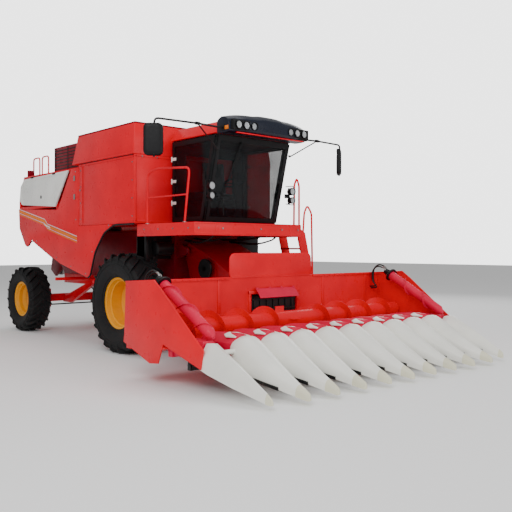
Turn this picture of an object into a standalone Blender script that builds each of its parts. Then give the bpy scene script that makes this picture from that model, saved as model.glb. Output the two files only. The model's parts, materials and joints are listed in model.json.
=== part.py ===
"""Combine harvester with a ten-row maize header, one object for each sub-part.

The machine faces -Y, its left side is +X and it stands on Z = 0.  Heights are real heights and
lengths are measured from the front axle; the empty "harvester" carries every sub-part and puts
the middle of the machine's box at the origin.
"""
import bpy
import bmesh
from math import cos, pi, radians, sin
from mathutils import Matrix, Vector

# ---------------------------------------------------------------- driving dimensions, metres
SEAT_GAP = 0.0003            # what two touching pieces keep between them

WHEELBASE = 4.15
FRONT_TYRE_R, FRONT_TYRE_W, FRONT_RIM_R = 0.85, 0.60, 0.44
REAR_TYRE_R, REAR_TYRE_W, REAR_RIM_R = 0.69, 0.46, 0.37
FRONT_TRACK_HALF = 1.39      # middle of a front tyre
REAR_TRACK_HALF = 1.34
KINGPIN_X = 1.02

ROWS = 10
ROW_SPACING = 0.50
SNOUT_REACH = 4.82           # front axle to the snout tips
REAR_REACH = WHEELBASE + REAR_TYRE_R
FRONT_AXLE_Y = (SNOUT_REACH - REAR_REACH) / 2

BODY_HALF = 1.55             # outside of the side panels
BODY_FLOOR = 1.235           # underside of the threshing body
SEPARATOR_HALF = 0.72
PANEL_T = 0.02

TANK_FRONT, TANK_REAR = -0.43, 1.50
TANK_FLOOR, TANK_SEAM, TANK_TOP = 2.20, 3.35, 3.88
TANK_WALL = 0.03

CAB_HALF = 0.80
CAB_FLOOR, CAB_TOP = 2.21, 3.61
CAB_REAR = -0.46
SCREEN_FOOT, SCREEN_HEAD = -1.34, -1.69
CAB_WALL = 0.06
DOOR_T = 0.028

DECK_FRONT = -2.00           # front edge of the platform
DECK_TOP, DECK_H = 2.18, 0.20

FEEDER_PIVOT = (-0.62, 1.74)  # y, z of the shaft the feeder house and header swing on
FEEDER_HALF = 0.55
SHAFT_R, SHAFT_SIDES = 0.035, 32   # feeder house shaft and how finely its bore is drawn
FEEDER_FACE = -2.02          # where the feeder house meets the header's adapter frame
PIN_HALF = 0.45              # half the length of the lift cylinders' pins
HEADER_REST_Y = -2.15        # front face of the header's back wall
HEADER_HALF = 2.69
WALL_TOP = 1.34
AUGER_Y, AUGER_Z = -2.58, 0.70
AUGER_TUBE_R, AUGER_R, AUGER_PITCH = 0.115, 0.215, 0.534
HUMP_Z = 0.68

HOOD_TOP = 3.30              # engine hood behind the tank
INTAKE_REAR = 3.02           # rear of the air intake housing on the hood

AXLE_FRONT_Z, AXLE_REAR_Z = FRONT_TYRE_R, REAR_TYRE_R

COLOURS = {                  # base colour, roughness, metallic
    "red_paint": ((0.78, 0.02, 0.03), 0.32, 0.0),
    "maroon_paint": ((0.32, 0.02, 0.04), 0.40, 0.0),
    "black_paint": ((0.02, 0.02, 0.022), 0.45, 0.0),
    "navy_plastic": ((0.02, 0.03, 0.06), 0.35, 0.0),
    "white_panel": ((0.85, 0.86, 0.80), 0.35, 0.0),
    "rim_yellow": ((0.90, 0.50, 0.03), 0.40, 0.0),
    "tyre_rubber": ((0.015, 0.015, 0.016), 0.85, 0.0),
    "cab_glass": ((0.10, 0.11, 0.12), 0.08, 0.0),
    "grey_steel": ((0.35, 0.35, 0.36), 0.45, 0.8),
    "seat_fabric": ((0.03, 0.03, 0.035), 0.9, 0.0),
}


# ---------------------------------------------------------------- scene and materials
def clear_scene():
    for obj in list(bpy.data.objects):
        bpy.data.objects.remove(obj, do_unlink=True)


def material(name):
    if name in bpy.data.materials:
        return bpy.data.materials[name]
    colour, rough, metal = COLOURS[name]
    mat = bpy.data.materials.new(name)
    mat.use_nodes = True
    shader = mat.node_tree.nodes["Principled BSDF"]
    shader.inputs["Base Color"].default_value = (*colour, 1.0)
    shader.inputs["Roughness"].default_value = rough
    shader.inputs["Metallic"].default_value = metal
    mat.diffuse_color = (*colour, 1.0)
    return mat


clear_scene()
PARTS = bpy.data.collections.new("combine_harvester")
bpy.context.scene.collection.children.link(PARTS)
ROOT = bpy.data.objects.new("harvester", None)
ROOT.location = (0.0, FRONT_AXLE_Y, 0.0)
PARTS.objects.link(ROOT)


def pivot_empty(name, at, parent=None):
    """An empty on a joint's axis, given in front-axle coordinates."""
    empty = bpy.data.objects.new(name, None)
    PARTS.objects.link(empty)
    empty.parent = parent or ROOT
    origin = Vector(at)
    if parent is not None:
        origin = origin - Vector(parent["at"])
    empty.location = origin
    empty["at"] = tuple(at)
    return empty


def finish(obj, name, mat, pivot=None):
    """Name a finished solid, give it its material and hang it on its pivot."""
    obj.name = name
    obj.data.name = name
    obj.data.materials.clear()
    obj.data.materials.append(material(mat))
    obj.data.shade_smooth()
    obj.data.set_sharp_from_angle(angle=radians(35))
    obj.parent = ROOT
    if pivot is not None:
        obj.data.transform(Matrix.Translation(-Vector(pivot["at"])))
        obj.parent = pivot
    return obj


# ---------------------------------------------------------------- plain solids
def from_bmesh(bm):
    mesh = bpy.data.meshes.new("solid")
    bmesh.ops.recalc_face_normals(bm, faces=bm.faces)
    bm.to_mesh(mesh)
    bm.free()
    obj = bpy.data.objects.new("solid", mesh)
    PARTS.objects.link(obj)
    return obj


def box(low, high):
    """A box between two corners."""
    bm = bmesh.new()
    bmesh.ops.create_cube(bm, size=1.0)
    size = Vector(high) - Vector(low)
    bmesh.ops.scale(bm, vec=size, verts=bm.verts)
    bmesh.ops.translate(bm, vec=(Vector(low) + Vector(high)) / 2, verts=bm.verts)
    return from_bmesh(bm)


def taper(low, high, top_low, top_high):
    """A box whose top face has its own corners (x, y pairs), for flared and leaning bodies."""
    obj = box(low, high)
    middle = (low[2] + high[2]) / 2
    for vert in obj.data.vertices:
        if vert.co.z > middle:
            right = vert.co.x > (low[0] + high[0]) / 2
            back = vert.co.y > (low[1] + high[1]) / 2
            vert.co.x = top_high[0] if right else top_low[0]
            vert.co.y = top_high[1] if back else top_low[1]
    return obj


def rod(start, end, radius, end_radius=None, sides=16):
    """A capped cylinder or cone between two points."""
    start, end = Vector(start), Vector(end)
    axis = end - start
    bm = bmesh.new()
    bmesh.ops.create_cone(bm, cap_ends=True, segments=sides, radius1=radius,
                          radius2=radius if end_radius is None else end_radius, depth=axis.length)
    turn = Vector((0, 0, 1)).rotation_difference(axis).to_matrix()
    bmesh.ops.rotate(bm, cent=(0, 0, 0), matrix=turn, verts=bm.verts)
    bmesh.ops.translate(bm, vec=(start + end) / 2, verts=bm.verts)
    return from_bmesh(bm)


def evaluated_copy(obj):
    """A plain mesh object with the modifiers or the curve of obj worked in; obj is removed."""
    bpy.context.view_layer.update()
    depsgraph = bpy.context.evaluated_depsgraph_get()
    mesh = bpy.data.meshes.new_from_object(obj.evaluated_get(depsgraph))
    bm = bmesh.new()
    bm.from_mesh(mesh)
    bmesh.ops.remove_doubles(bm, verts=bm.verts, dist=0.00002)
    bm.to_mesh(mesh)
    bm.free()
    result = bpy.data.objects.new("solid", mesh)
    result.matrix_world = obj.matrix_world
    PARTS.objects.link(result)
    bpy.data.objects.remove(obj, do_unlink=True)
    return result


def apply_place(obj):
    obj.data.transform(obj.matrix_world)
    obj.matrix_world = Matrix.Identity(4)
    return obj


PLANES = {                   # how a flat outline's own x, y and thickness stand in the machine
    "YZ": Matrix(((0, 0, 1, 0), (1, 0, 0, 0), (0, 1, 0, 0), (0, 0, 0, 1))),
    "XZ": Matrix(((1, 0, 0, 0), (0, 0, -1, 0), (0, 1, 0, 0), (0, 0, 0, 1))),
    "XY": Matrix.Identity(4),
}


def plate(outline, plane, start, end, holes=()):
    """A flat outline in a plane, extruded from start to end along the plane's normal."""
    curve = bpy.data.curves.new("outline", "CURVE")
    curve.dimensions = "2D"
    curve.fill_mode = "BOTH"
    curve.extrude = abs(end - start) / 2
    for loop in (outline, *holes):
        spline = curve.splines.new("POLY")
        spline.points.add(len(loop) - 1)
        for point, (x, y) in zip(spline.points, loop):
            point.co = (x, y, 0, 1)
        spline.use_cyclic_u = True
    obj = bpy.data.objects.new("outline", curve)
    PARTS.objects.link(obj)
    flip = -1 if plane == "XZ" else 1
    obj.matrix_world = PLANES[plane] @ Matrix.Translation((0, 0, flip * (start + end) / 2))
    solid = apply_place(evaluated_copy(obj))
    bm = bmesh.new()
    bm.from_mesh(solid.data)
    bmesh.ops.recalc_face_normals(bm, faces=bm.faces)
    bm.to_mesh(solid.data)
    bm.free()
    return solid


def arc(centre, radius, start_deg, end_deg, steps):
    """Points of an arc in an outline, from one angle to another."""
    angles = (start_deg + (end_deg - start_deg) * i / steps for i in range(steps + 1))
    return [(centre[0] + radius * cos(radians(a)), centre[1] + radius * sin(radians(a)))
            for a in angles]


def rounded(low, high, radius, steps=3):
    """A rectangle's outline with round corners."""
    (x0, y0), (x1, y1) = low, high
    return (arc((x1 - radius, y0 + radius), radius, -90, 0, steps)
            + arc((x1 - radius, y1 - radius), radius, 0, 90, steps)
            + arc((x0 + radius, y1 - radius), radius, 90, 180, steps)
            + arc((x0 + radius, y0 + radius), radius, 180, 270, steps))


def pipe(points, radius, sides=2, closed=False):
    """A round bar or tube through corner points, with filled caps, or a closed ring."""
    curve = bpy.data.curves.new("pipe", "CURVE")
    curve.dimensions = "3D"
    curve.bevel_depth = radius
    curve.bevel_resolution = sides
    curve.use_fill_caps = True
    spline = curve.splines.new("POLY")
    spline.points.add(len(points) - 1)
    for point, place in zip(spline.points, points):
        point.co = (*place, 1)
    spline.use_cyclic_u = closed
    obj = bpy.data.objects.new("pipe", curve)
    PARTS.objects.link(obj)
    return evaluated_copy(obj)


def bent(points, radius, steps=3):
    """Corner points with each inner corner rounded by a short arc of the given radius."""
    points = [Vector(p) for p in points]
    route = [points[0]]
    for before, corner, after in zip(points, points[1:], points[2:]):
        to_before, to_after = (before - corner).normalized(), (after - corner).normalized()
        start, end = corner + to_before * radius, corner + to_after * radius
        for i in range(steps + 1):
            t = i / steps
            route.append(start * (1 - t) ** 2 + corner * 2 * t * (1 - t) + end * t ** 2)
    route.append(points[-1])
    return route


def turned(profile, axis_at, steps=24):
    """A profile of (distance along x, radius) turned about an axis parallel to X."""
    bm = bmesh.new()
    verts = [bm.verts.new((along, radius, 0.0)) for along, radius in profile]
    for first, second in zip(verts, verts[1:]):
        bm.edges.new((first, second))
    mesh = bpy.data.meshes.new("profile")
    bm.to_mesh(mesh)
    bm.free()
    obj = bpy.data.objects.new("profile", mesh)
    PARTS.objects.link(obj)
    screw = obj.modifiers.new("Screw", "SCREW")
    screw.axis = "X"
    screw.steps = steps
    screw.render_steps = steps
    screw.use_merge_vertices = True
    screw.merge_threshold = 0.00005
    solid = evaluated_copy(obj)
    bm = bmesh.new()
    bm.from_mesh(solid.data)
    bmesh.ops.recalc_face_normals(bm, faces=bm.faces)
    bmesh.ops.translate(bm, vec=axis_at, verts=bm.verts)
    bm.to_mesh(solid.data)
    bm.free()
    return solid


# ---------------------------------------------------------------- joining and cutting
def boolean(base, others, operation):
    for other in others:
        step = base.modifiers.new(operation.title(), "BOOLEAN")
        step.operation = operation
        step.solver = "EXACT"
        step.object = other
    result = evaluated_copy(base)
    for other in others:
        bpy.data.objects.remove(other, do_unlink=True)
    return result


def fuse(*solids):
    return boolean(solids[0], solids[1:], "UNION")


def cut(base, *cutters):
    return boolean(base, cutters, "DIFFERENCE")


# ---------------------------------------------------------------- frame, axles and wheels
RAIL_X, RAIL_W = 0.60, 0.10
RAIL_FOOT, RAIL_TOP = 1.03, BODY_FLOOR - SEAT_GAP
AXLE_TUBE_R = 0.12
HUB_FACE = 1.16              # where a front wheel's hub meets its final drive


def main_frame():
    pieces = []
    for side in (-1, 1):
        x = side * RAIL_X
        pieces.append(box((x - RAIL_W / 2, -0.50, RAIL_FOOT), (x + RAIL_W / 2, 3.86, RAIL_TOP)))
    for y in (-0.46, 1.00, 2.50, 3.78):
        pieces.append(box((-RAIL_X, y - 0.03, RAIL_FOOT + 0.02), (RAIL_X, y + 0.03, RAIL_TOP - 0.02)))
    for side in (-1, 1):     # legs that slope down to the rear axle's carrier
        leg = plate([(2.55, 1.06), (2.85, 1.06), (3.72, 0.78), (3.94, 0.70), (3.94, 0.60), (3.60, 0.60)],
                    "YZ", side * RAIL_X - 0.04, side * RAIL_X + 0.04)
        pieces.append(leg)
    pieces.append(box((-RAIL_X, 3.86, 0.61), (RAIL_X, 3.96, 0.77)))
    for side in (-1, 1):     # outriggers that carry the side panels and the tank
        for y in (1.00, 2.50):
            pieces.append(box((min(side * 0.5, side * 1.52), y - 0.025, RAIL_TOP - 0.09),
                              (max(side * 0.5, side * 1.52), y + 0.025, RAIL_TOP - 0.03)))
    finish(fuse(*pieces), "main_frame", "red_paint")


def front_axle():
    tube = rod((-1.0, 0, AXLE_FRONT_Z), (1.0, 0, AXLE_FRONT_Z), AXLE_TUBE_R, sides=20)
    pieces = [tube]
    for side in (-1, 1):
        pieces.append(rod((side * 0.80, 0, AXLE_FRONT_Z), (side * 1.04, 0, AXLE_FRONT_Z), 0.26, sides=24))
        pieces.append(rod((side * 1.03, 0, AXLE_FRONT_Z), (side * (HUB_FACE - SEAT_GAP), 0, AXLE_FRONT_Z),
                          0.13, sides=20))
        pieces.append(box((side * RAIL_X - 0.08, -0.14, AXLE_FRONT_Z),
                          (side * RAIL_X + 0.08, 0.14, RAIL_FOOT - SEAT_GAP)))
    pieces.append(box((-0.22, -0.18, AXLE_FRONT_Z - 0.16), (0.22, 0.18, AXLE_FRONT_Z + 0.15)))
    for side in (-1, 1):     # ears for the lift cylinders' rear pin
        low_x, high_x = sorted((side * (PIN_HALF + SEAT_GAP), side * (PIN_HALF + 0.03)))
        z = AXLE_FRONT_Z
        pieces.append(plate([(0.06, z - 0.05), (-0.02, z + 0.01), (-0.24, z - 0.19), (-0.24, z - 0.31),
                             (-0.14, z - 0.31)], "YZ", low_x, high_x))
    finish(fuse(*pieces), "front_axle", "maroon_paint")


CLEVIS_GAP = 0.12            # half the height between a clevis' ears


def rear_axle():
    z, y = AXLE_REAR_Z, WHEELBASE
    pieces = [box((-0.92, y - 0.08, z - 0.08), (0.92, y + 0.08, z + 0.08)),
              box((-0.30, 3.9603, z - 0.07), (0.30, y, z + 0.07))]
    for side in (-1, 1):
        pieces.append(box((min(side * 0.86, side * 0.94), y - 0.08, z - 0.20),
                          (max(side * 0.86, side * 0.94), y + 0.08, z + 0.20)))
        for low, high in ((-0.20, -CLEVIS_GAP), (CLEVIS_GAP, 0.20)):
            ear = plate([(side * 0.88, y - 0.07), (side * KINGPIN_X, y - 0.07)]
                        + arc((side * KINGPIN_X, y), 0.07, -90, 90, 4)[1:-1] * (side > 0)
                        + [(side * (KINGPIN_X + 0.06), y)] * (side < 0)
                        + [(side * KINGPIN_X, y + 0.07), (side * 0.88, y + 0.07)],
                        "XY", z + low, z + high)
            pieces.append(ear)
    finish(fuse(*pieces), "rear_axle", "red_paint")


HUB_REAR_FACE = 1.20
ARM_Z = 0.49                 # height of the steering arms and the tie rod
RISER_OUT = 0.14             # the arm's riser behind the kingpin, clear of the axle's ears
ARM_X, ARM_Y = 0.90, WHEELBASE + 0.24


def knuckle(name, side, pivot):
    z, y = AXLE_REAR_Z, WHEELBASE
    x = side * KINGPIN_X
    body = rod((x, y, z - CLEVIS_GAP + SEAT_GAP), (x, y, z + CLEVIS_GAP - SEAT_GAP), 0.06)
    stub = rod((x, y, z), (side * (HUB_REAR_FACE - SEAT_GAP), y, z), 0.05)
    riser = rod((x, y + RISER_OUT, ARM_Z - 0.028), (x, y + RISER_OUT, z), 0.03)
    link = box((x - 0.02, y, z - 0.032), (x + 0.02, y + RISER_OUT + 0.02, z + 0.032))
    arm = plate([(x + side * 0.025, y + RISER_OUT - 0.03), (x + side * 0.025, y + RISER_OUT + 0.03),
                 (side * ARM_X, ARM_Y + 0.03), (side * (ARM_X - 0.03), ARM_Y),
                 (side * (ARM_X + 0.01), ARM_Y - 0.04)], "XY", ARM_Z - 0.03, ARM_Z - 0.005)
    finish(fuse(body, stub, riser, link, arm), name, "black_paint", pivot)


def tie_rod(pivot):
    """One rod between the two steering arms, lying on top of them."""
    z = ARM_Z + 0.016
    bar = rod((-ARM_X, ARM_Y, z + 0.008), (ARM_X, ARM_Y, z + 0.008), 0.016, sides=12)
    eyes = [rod((side * ARM_X, ARM_Y, ARM_Z - 0.005 + SEAT_GAP), (side * ARM_X, ARM_Y, z + 0.028), 0.026)
            for side in (-1, 1)]
    finish(fuse(bar, *eyes), "tie_rod", "black_paint", pivot)


def wheel(name, side, middle_x, y, tyre_r, tyre_w, rim_r, hub_face, pivot):
    """A tyre and its dished rim; the rim's hub sits on hub_face."""
    half = tyre_w / 2
    bead = rim_r + SEAT_GAP
    shoulder = tyre_r - 0.09
    profile = [(-half * 0.72, bead), (-half * 0.97, bead + 0.07), (-half, (bead + shoulder) / 2),
               (-half * 0.98, shoulder), (-half * 0.86, tyre_r), (half * 0.86, tyre_r),
               (half * 0.98, shoulder), (half, (bead + shoulder) / 2), (half * 0.97, bead + 0.07),
               (half * 0.72, bead), (-half * 0.72, bead)]
    tyre = turned([(x, r) for x, r in profile], (middle_x, y, tyre_r), steps=24)
    finish(tyre, name + "_tyre", "tyre_rubber", pivot)
    inner = hub_face - abs(middle_x)          # measured outwards from the tyre's middle
    skin = 0.012
    dish = inner + 0.10
    wall = rim_r - 0.03
    rim_profile = [(inner, 0.0), (inner, 0.16), (inner + 0.02, 0.17), (dish, wall - 0.02),
                   (-half * 0.66, wall - 0.02), (-half * 0.71, rim_r),
                   (half * 0.71, rim_r), (half * 0.66, wall - 0.02),
                   (dish + skin * 2, wall - 0.02), (inner + 0.055, 0.17), (inner + 0.055, 0.0)]
    rim = turned([(side * x, r) for x, r in rim_profile], (middle_x, y, tyre_r), steps=24)
    finish(rim, name + "_rim", "rim_yellow", pivot)


def wheels_and_steering():
    for side, word in ((-1, "right"), (1, "left")):
        at = (side * FRONT_TRACK_HALF, 0, AXLE_FRONT_Z)
        spin = pivot_empty("front_wheel_%s_axis" % word, at)
        wheel("front_%s" % word, side, at[0], 0, FRONT_TYRE_R, FRONT_TYRE_W, FRONT_RIM_R, HUB_FACE, spin)
        king = pivot_empty("steer_%s_axis" % word, (side * KINGPIN_X, WHEELBASE, AXLE_REAR_Z))
        knuckle("knuckle_%s" % word, side, king)
        at = (side * REAR_TRACK_HALF, WHEELBASE, AXLE_REAR_Z)
        spin = pivot_empty("rear_wheel_%s_axis" % word, at, king)
        wheel("rear_%s" % word, side, at[0], WHEELBASE, REAR_TYRE_R, REAR_TYRE_W, REAR_RIM_R,
              HUB_REAR_FACE, spin)
        if side < 0:
            eye = pivot_empty("tie_rod_axis", (-ARM_X, ARM_Y, ARM_Z), king)
            tie_rod(eye)


# ---------------------------------------------------------------- body
def separator_body():
    """Threshing and cleaning housing between the frame's rails, with the cleaning shoe below."""
    upper = plate([(-0.40, BODY_FLOOR), (3.70, BODY_FLOOR), (3.90, 1.45), (3.90, 2.10),
                   (-0.40, 2.10)], "YZ", -SEPARATOR_HALF, SEPARATOR_HALF)
    inner = RAIL_X - RAIL_W / 2 - 0.02
    shoe = plate([(1.05, 1.24), (1.20, 0.92), (2.20, 0.92), (2.44, 1.24)], "YZ", -inner, inner)
    pieces = [upper, shoe]
    for side in (-1, 1):     # ears that carry the feeder house's shaft
        x = side * (FEEDER_HALF + 0.09)
        pieces.append(plate([(-0.38, 1.60), (-0.38, 1.90), (-0.60, 1.82), (-0.70, 1.78), (-0.70, 1.69),
                             (-0.60, 1.66)], "YZ", x - 0.03, x + 0.03))
    pieces.append(rod((-(FEEDER_HALF + 0.08), FEEDER_PIVOT[0], FEEDER_PIVOT[1]),
                      (FEEDER_HALF + 0.08, FEEDER_PIVOT[0], FEEDER_PIVOT[1]), SHAFT_R,
                      sides=SHAFT_SIDES))
    finish(fuse(*pieces), "separator_body", "red_paint")


def straw_chopper():
    body = plate([(3.90 + SEAT_GAP, 1.36), (4.20, 1.16), (4.42, 1.30), (4.30, 1.90), (3.90 + SEAT_GAP, 1.95)],
                 "YZ", -0.70, 0.70)
    mouth = box((-0.64, 4.00, 1.00), (0.64, 4.60, 1.62))
    finish(cut(body, mouth), "straw_chopper", "maroon_paint")


def engine_block():
    pieces = [box((-0.42, 2.10, 2.26), (0.42, 3.30, 2.95)),
              box((-0.55, 2.55, 2.10 + SEAT_GAP), (0.55, 3.25, 2.30))]
    finish(fuse(*pieces), "engine_block", "grey_steel")


def side_outline():
    """The lower side panel from the front arch round to the machine's rear corner."""
    front = [(0.30, 2.17), (0.58, 2.06), (0.90, 1.72), (1.08, 1.28), (1.16, 1.24)]
    rear_arch = [(2.24, 1.48), (2.60, 1.60), (3.30, 1.86), (3.55, 1.96), (3.72, 1.82)]
    rear_edge = [(3.86, 1.84), (4.16, 2.20), (4.20, 2.62)]
    top = [(2.36, 2.54), (1.80, HOOD_TOP - 0.02), (TANK_REAR + 0.003, HOOD_TOP - 0.02),
           (TANK_REAR + 0.003, TANK_FLOOR - 0.003)]
    return front + rear_arch + rear_edge + top + [(0.30, TANK_FLOOR - 0.003)]


def side_panels():
    for side, word in ((-1, "right"), (1, "left")):
        start, end = side * (BODY_HALF - PANEL_T), side * BODY_HALF
        skin = plate(side_outline(), "YZ", min(start, end), max(start, end))
        finish(skin, "side_panel_%s" % word, "red_paint")


def grain_tank():
    """Open-topped hopper with a floor that stands on the threshing body."""
    half = BODY_HALF - 0.005
    outer = taper((-half, TANK_FRONT, TANK_FLOOR), (half, TANK_REAR, TANK_SEAM),
                  (-half, TANK_FRONT), (half, TANK_REAR))
    inner = box((-half + TANK_WALL, TANK_FRONT + TANK_WALL, TANK_FLOOR + TANK_WALL),
                (half - TANK_WALL, TANK_REAR - TANK_WALL, TANK_SEAM + 0.1))
    shell = cut(outer, inner)
    foot = box((-0.66, TANK_FRONT + 0.08, 2.10 + SEAT_GAP), (0.66, TANK_REAR - 0.05, TANK_FLOOR + 0.01))
    finish(fuse(shell, foot), "grain_tank", "red_paint")


def tank_extension():
    half = BODY_HALF + 0.02
    low, high = TANK_SEAM + SEAT_GAP, TANK_TOP
    outer = taper((-half, TANK_FRONT, low), (half, 1.72, high),
                  (-half + 0.06, TANK_FRONT + 0.05), (half - 0.06, 1.60))
    wall = TANK_WALL
    inner = taper((-half + 2 * wall, TANK_FRONT + 2 * wall, low - 0.05), (half - 2 * wall, 1.46, high + 0.05),
                  (-half + 0.06 + wall, TANK_FRONT + 0.05 + wall), (half - 0.06 - wall, 1.60 - wall))
    finish(cut(outer, inner), "tank_extension", "red_paint")


COVER_T = 0.02


def tank_covers():
    half = BODY_HALF - 0.04
    z = TANK_TOP + SEAT_GAP
    for side, word in ((-1, "right"), (1, "left")):
        hinge = pivot_empty("tank_cover_%s_axis" % word, (side * half, 0.6, z + COVER_T))
        low_x, high_x = sorted((side * 0.004, side * half))
        lid = box((low_x, TANK_FRONT + 0.05, z), (high_x, 1.60, z + COVER_T))
        finish(lid, "tank_cover_%s" % word, "maroon_paint", hinge)


def rear_hood():
    """Deck, rear wall and corner posts behind the tank; the service panels close its sides."""
    half = BODY_HALF - PANEL_T - SEAT_GAP
    deck = box((-half, TANK_REAR + 0.003, HOOD_TOP - 0.04), (half, 3.98, HOOD_TOP))
    rear = plate([(3.90, HOOD_TOP - 0.03), (3.985, HOOD_TOP - 0.03), (4.21, 2.78), (4.19, 2.20),
                  (3.99, 1.98), (3.93, 2.02), (4.14, 2.24), (4.16, 2.77)], "YZ", -half + 0.001, half - 0.001)
    pieces = [deck, rear]
    for side in (-1, 1):
        low_x, high_x = sorted((side * (half - 0.06), side * (half - 0.002)))
        pieces.append(box((low_x, 2.405, 2.60), (high_x, 4.15, 2.66)))
        low_x, high_x = sorted((side * (half - 0.058), side * (half - 0.003)))
        pieces.append(box((low_x, 2.40, 2.14), (high_x, 2.46, HOOD_TOP - 0.02)))
        low_x, high_x = sorted((side * (half - 0.062), side * (half - 0.004)))
        pieces.append(box((low_x, 2.41, 2.125), (high_x, 4.145, 2.185)))
    for y in (2.42, 3.70):
        pieces.append(box((-half + 0.005, y, 2.10 + SEAT_GAP), (half - 0.005, y + 0.09, 2.15)))
    finish(fuse(*pieces), "rear_hood", "red_paint")


def service_panels():
    """Large white side covers, hinged along their top edge."""
    outline = [(2.44, 2.60), (1.88, HOOD_TOP - 0.03), (3.86, HOOD_TOP - 0.06), (4.04, 3.10), (4.10, 2.80),
               (3.96, 2.70)]
    for side, word in ((-1, "right"), (1, "left")):
        start = side * (BODY_HALF - PANEL_T + SEAT_GAP)
        end = side * (BODY_HALF + 0.03)
        hinge = pivot_empty("service_panel_%s_axis" % word, (end, 2.9, HOOD_TOP - 0.03))
        panel = plate(outline, "YZ", min(start, end), max(start, end))
        finish(panel, "service_panel_%s" % word, "white_panel", hinge)


def deck_fittings():
    """Air intake housing and the guard rails on the engine deck."""
    intake = box((-1.30, 1.80, HOOD_TOP + SEAT_GAP), (0.30, INTAKE_REAR, 3.84))
    finish(intake, "air_intake_box", "maroon_paint")
    z = HOOD_TOP + SEAT_GAP
    foot = INTAKE_REAR + 0.28
    pieces = [box((-1.30, foot, z), (-1.24, foot + 0.80, z + 0.03))]
    for y in (foot + 0.04, foot + 0.46):
        loop = [(-1.27, y, z + 0.01), (-1.27, y, z + 0.42), (-1.27, y + 0.30, z + 0.42),
                (-1.27, y + 0.30, z + 0.01)]
        pieces.append(pipe(bent(loop, 0.07), 0.016))
    finish(fuse(*pieces), "deck_rails", "red_paint")


# ---------------------------------------------------------------- platform and cab
def platform():
    """Walkway with a deep front edge, fixed to the tank and frame, with the right-hand rail."""
    low, high = DECK_TOP - 0.04, DECK_TOP
    deck = plate([(-1.50, TANK_FRONT - 0.005), (-1.50, DECK_FRONT), (0.78, DECK_FRONT), (0.86, -1.64),
                  (1.15, -1.64), (1.15, TANK_FRONT - 0.005)], "XY", low, high)
    fascia = box((-1.50, DECK_FRONT, high - DECK_H), (0.78, DECK_FRONT + 0.03, high - 0.005))
    side = box((-1.50, DECK_FRONT + 0.01, high - DECK_H), (-1.47, TANK_FRONT - 0.005, high - 0.005))
    left = box((1.12, -1.64, high - DECK_H), (1.15, TANK_FRONT - 0.005, high - 0.005))
    front_left = box((0.84, -1.64, high - DECK_H), (1.14, -1.61, high - 0.005))
    link = plate([(0.78, DECK_FRONT + 0.02), (0.865, -1.62), (0.84, -1.62), (0.755, DECK_FRONT + 0.02)],
                 "XY", high - DECK_H, high - 0.005)
    pieces = [deck, fascia, side, left, front_left, link]
    for side_x in (-0.60, 0.60):         # brackets down to the threshing body's front
        pieces.append(plate([(-0.400 - SEAT_GAP, 1.98), (-0.400 - SEAT_GAP, 2.15), (-1.50, 2.15),
                             (-1.50, 2.09)], "YZ", side_x - 0.03, side_x + 0.03))
    rail = bent([(-1.48, -0.72, high - 0.02), (-1.48, -0.72, 3.00), (-1.48, -1.00, 3.06),
                 (-1.48, -1.86, 3.00), (-1.48, -1.73, high - 0.02)], 0.09)
    pieces.append(pipe(rail, 0.018))
    pieces.append(pipe([(-1.48, -0.72, 2.60), (-1.48, -1.79, 2.60)], 0.014))
    rail1 = bent([(0.99, -1.622, high - 0.02), (1.00, -1.622, 2.90), (1.06, -1.622, 3.02),
                  (1.12, -1.622, 2.90), (1.12, -1.622, high - 0.02)], 0.04)
    pieces.append(pipe(rail1, 0.017))
    finish(fuse(*pieces), "platform", "red_paint")


LADDER_FRONT, LADDER_REAR = -1.58, -1.10


def ladder():
    """Steps down to the left, with a low hooped handrail on the front stringer."""
    top, foot = (1.15 + SEAT_GAP, DECK_TOP - 0.02), (1.62, 0.62)
    slope = (foot[0] - top[0]) / (foot[1] - top[1])
    pieces = []
    for y in (LADDER_FRONT, LADDER_REAR):
        pieces.append(plate([(top[0], top[1]), (top[0], top[1] - 0.22), (foot[0] - 0.08, foot[1]),
                             (foot[0] + 0.08, foot[1]), (top[0] + 0.17, top[1] - 0.10)], "XZ", y, y + 0.025))
    for i in range(4):
        z = foot[1] + 0.06 + 0.36 * i
        x = top[0] + slope * (z - top[1]) - 0.02
        pieces.append(box((x - 0.07, LADDER_FRONT + 0.01, z), (x + 0.07, LADDER_REAR + 0.015, z + 0.03)))
    hoop = bent([(1.27, -1.567, 1.92), (1.31, -1.567, 2.42), (1.39, -1.567, 2.56), (1.50, -1.567, 2.42),
                 (1.53, -1.567, 1.10)], 0.06)
    pieces.append(pipe(hoop, 0.017))
    pieces.append(rod((1.53, -1.567, 1.14), (1.42, -1.567, 1.14), 0.014, sides=8))
    finish(fuse(*pieces), "ladder", "red_paint")


def screen_y(z):
    """Where the leaning windscreen plane stands at a height."""
    share = (z - CAB_FLOOR) / (CAB_TOP - CAB_FLOOR)
    return SCREEN_FOOT + (SCREEN_HEAD - SCREEN_FOOT) * share


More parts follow.
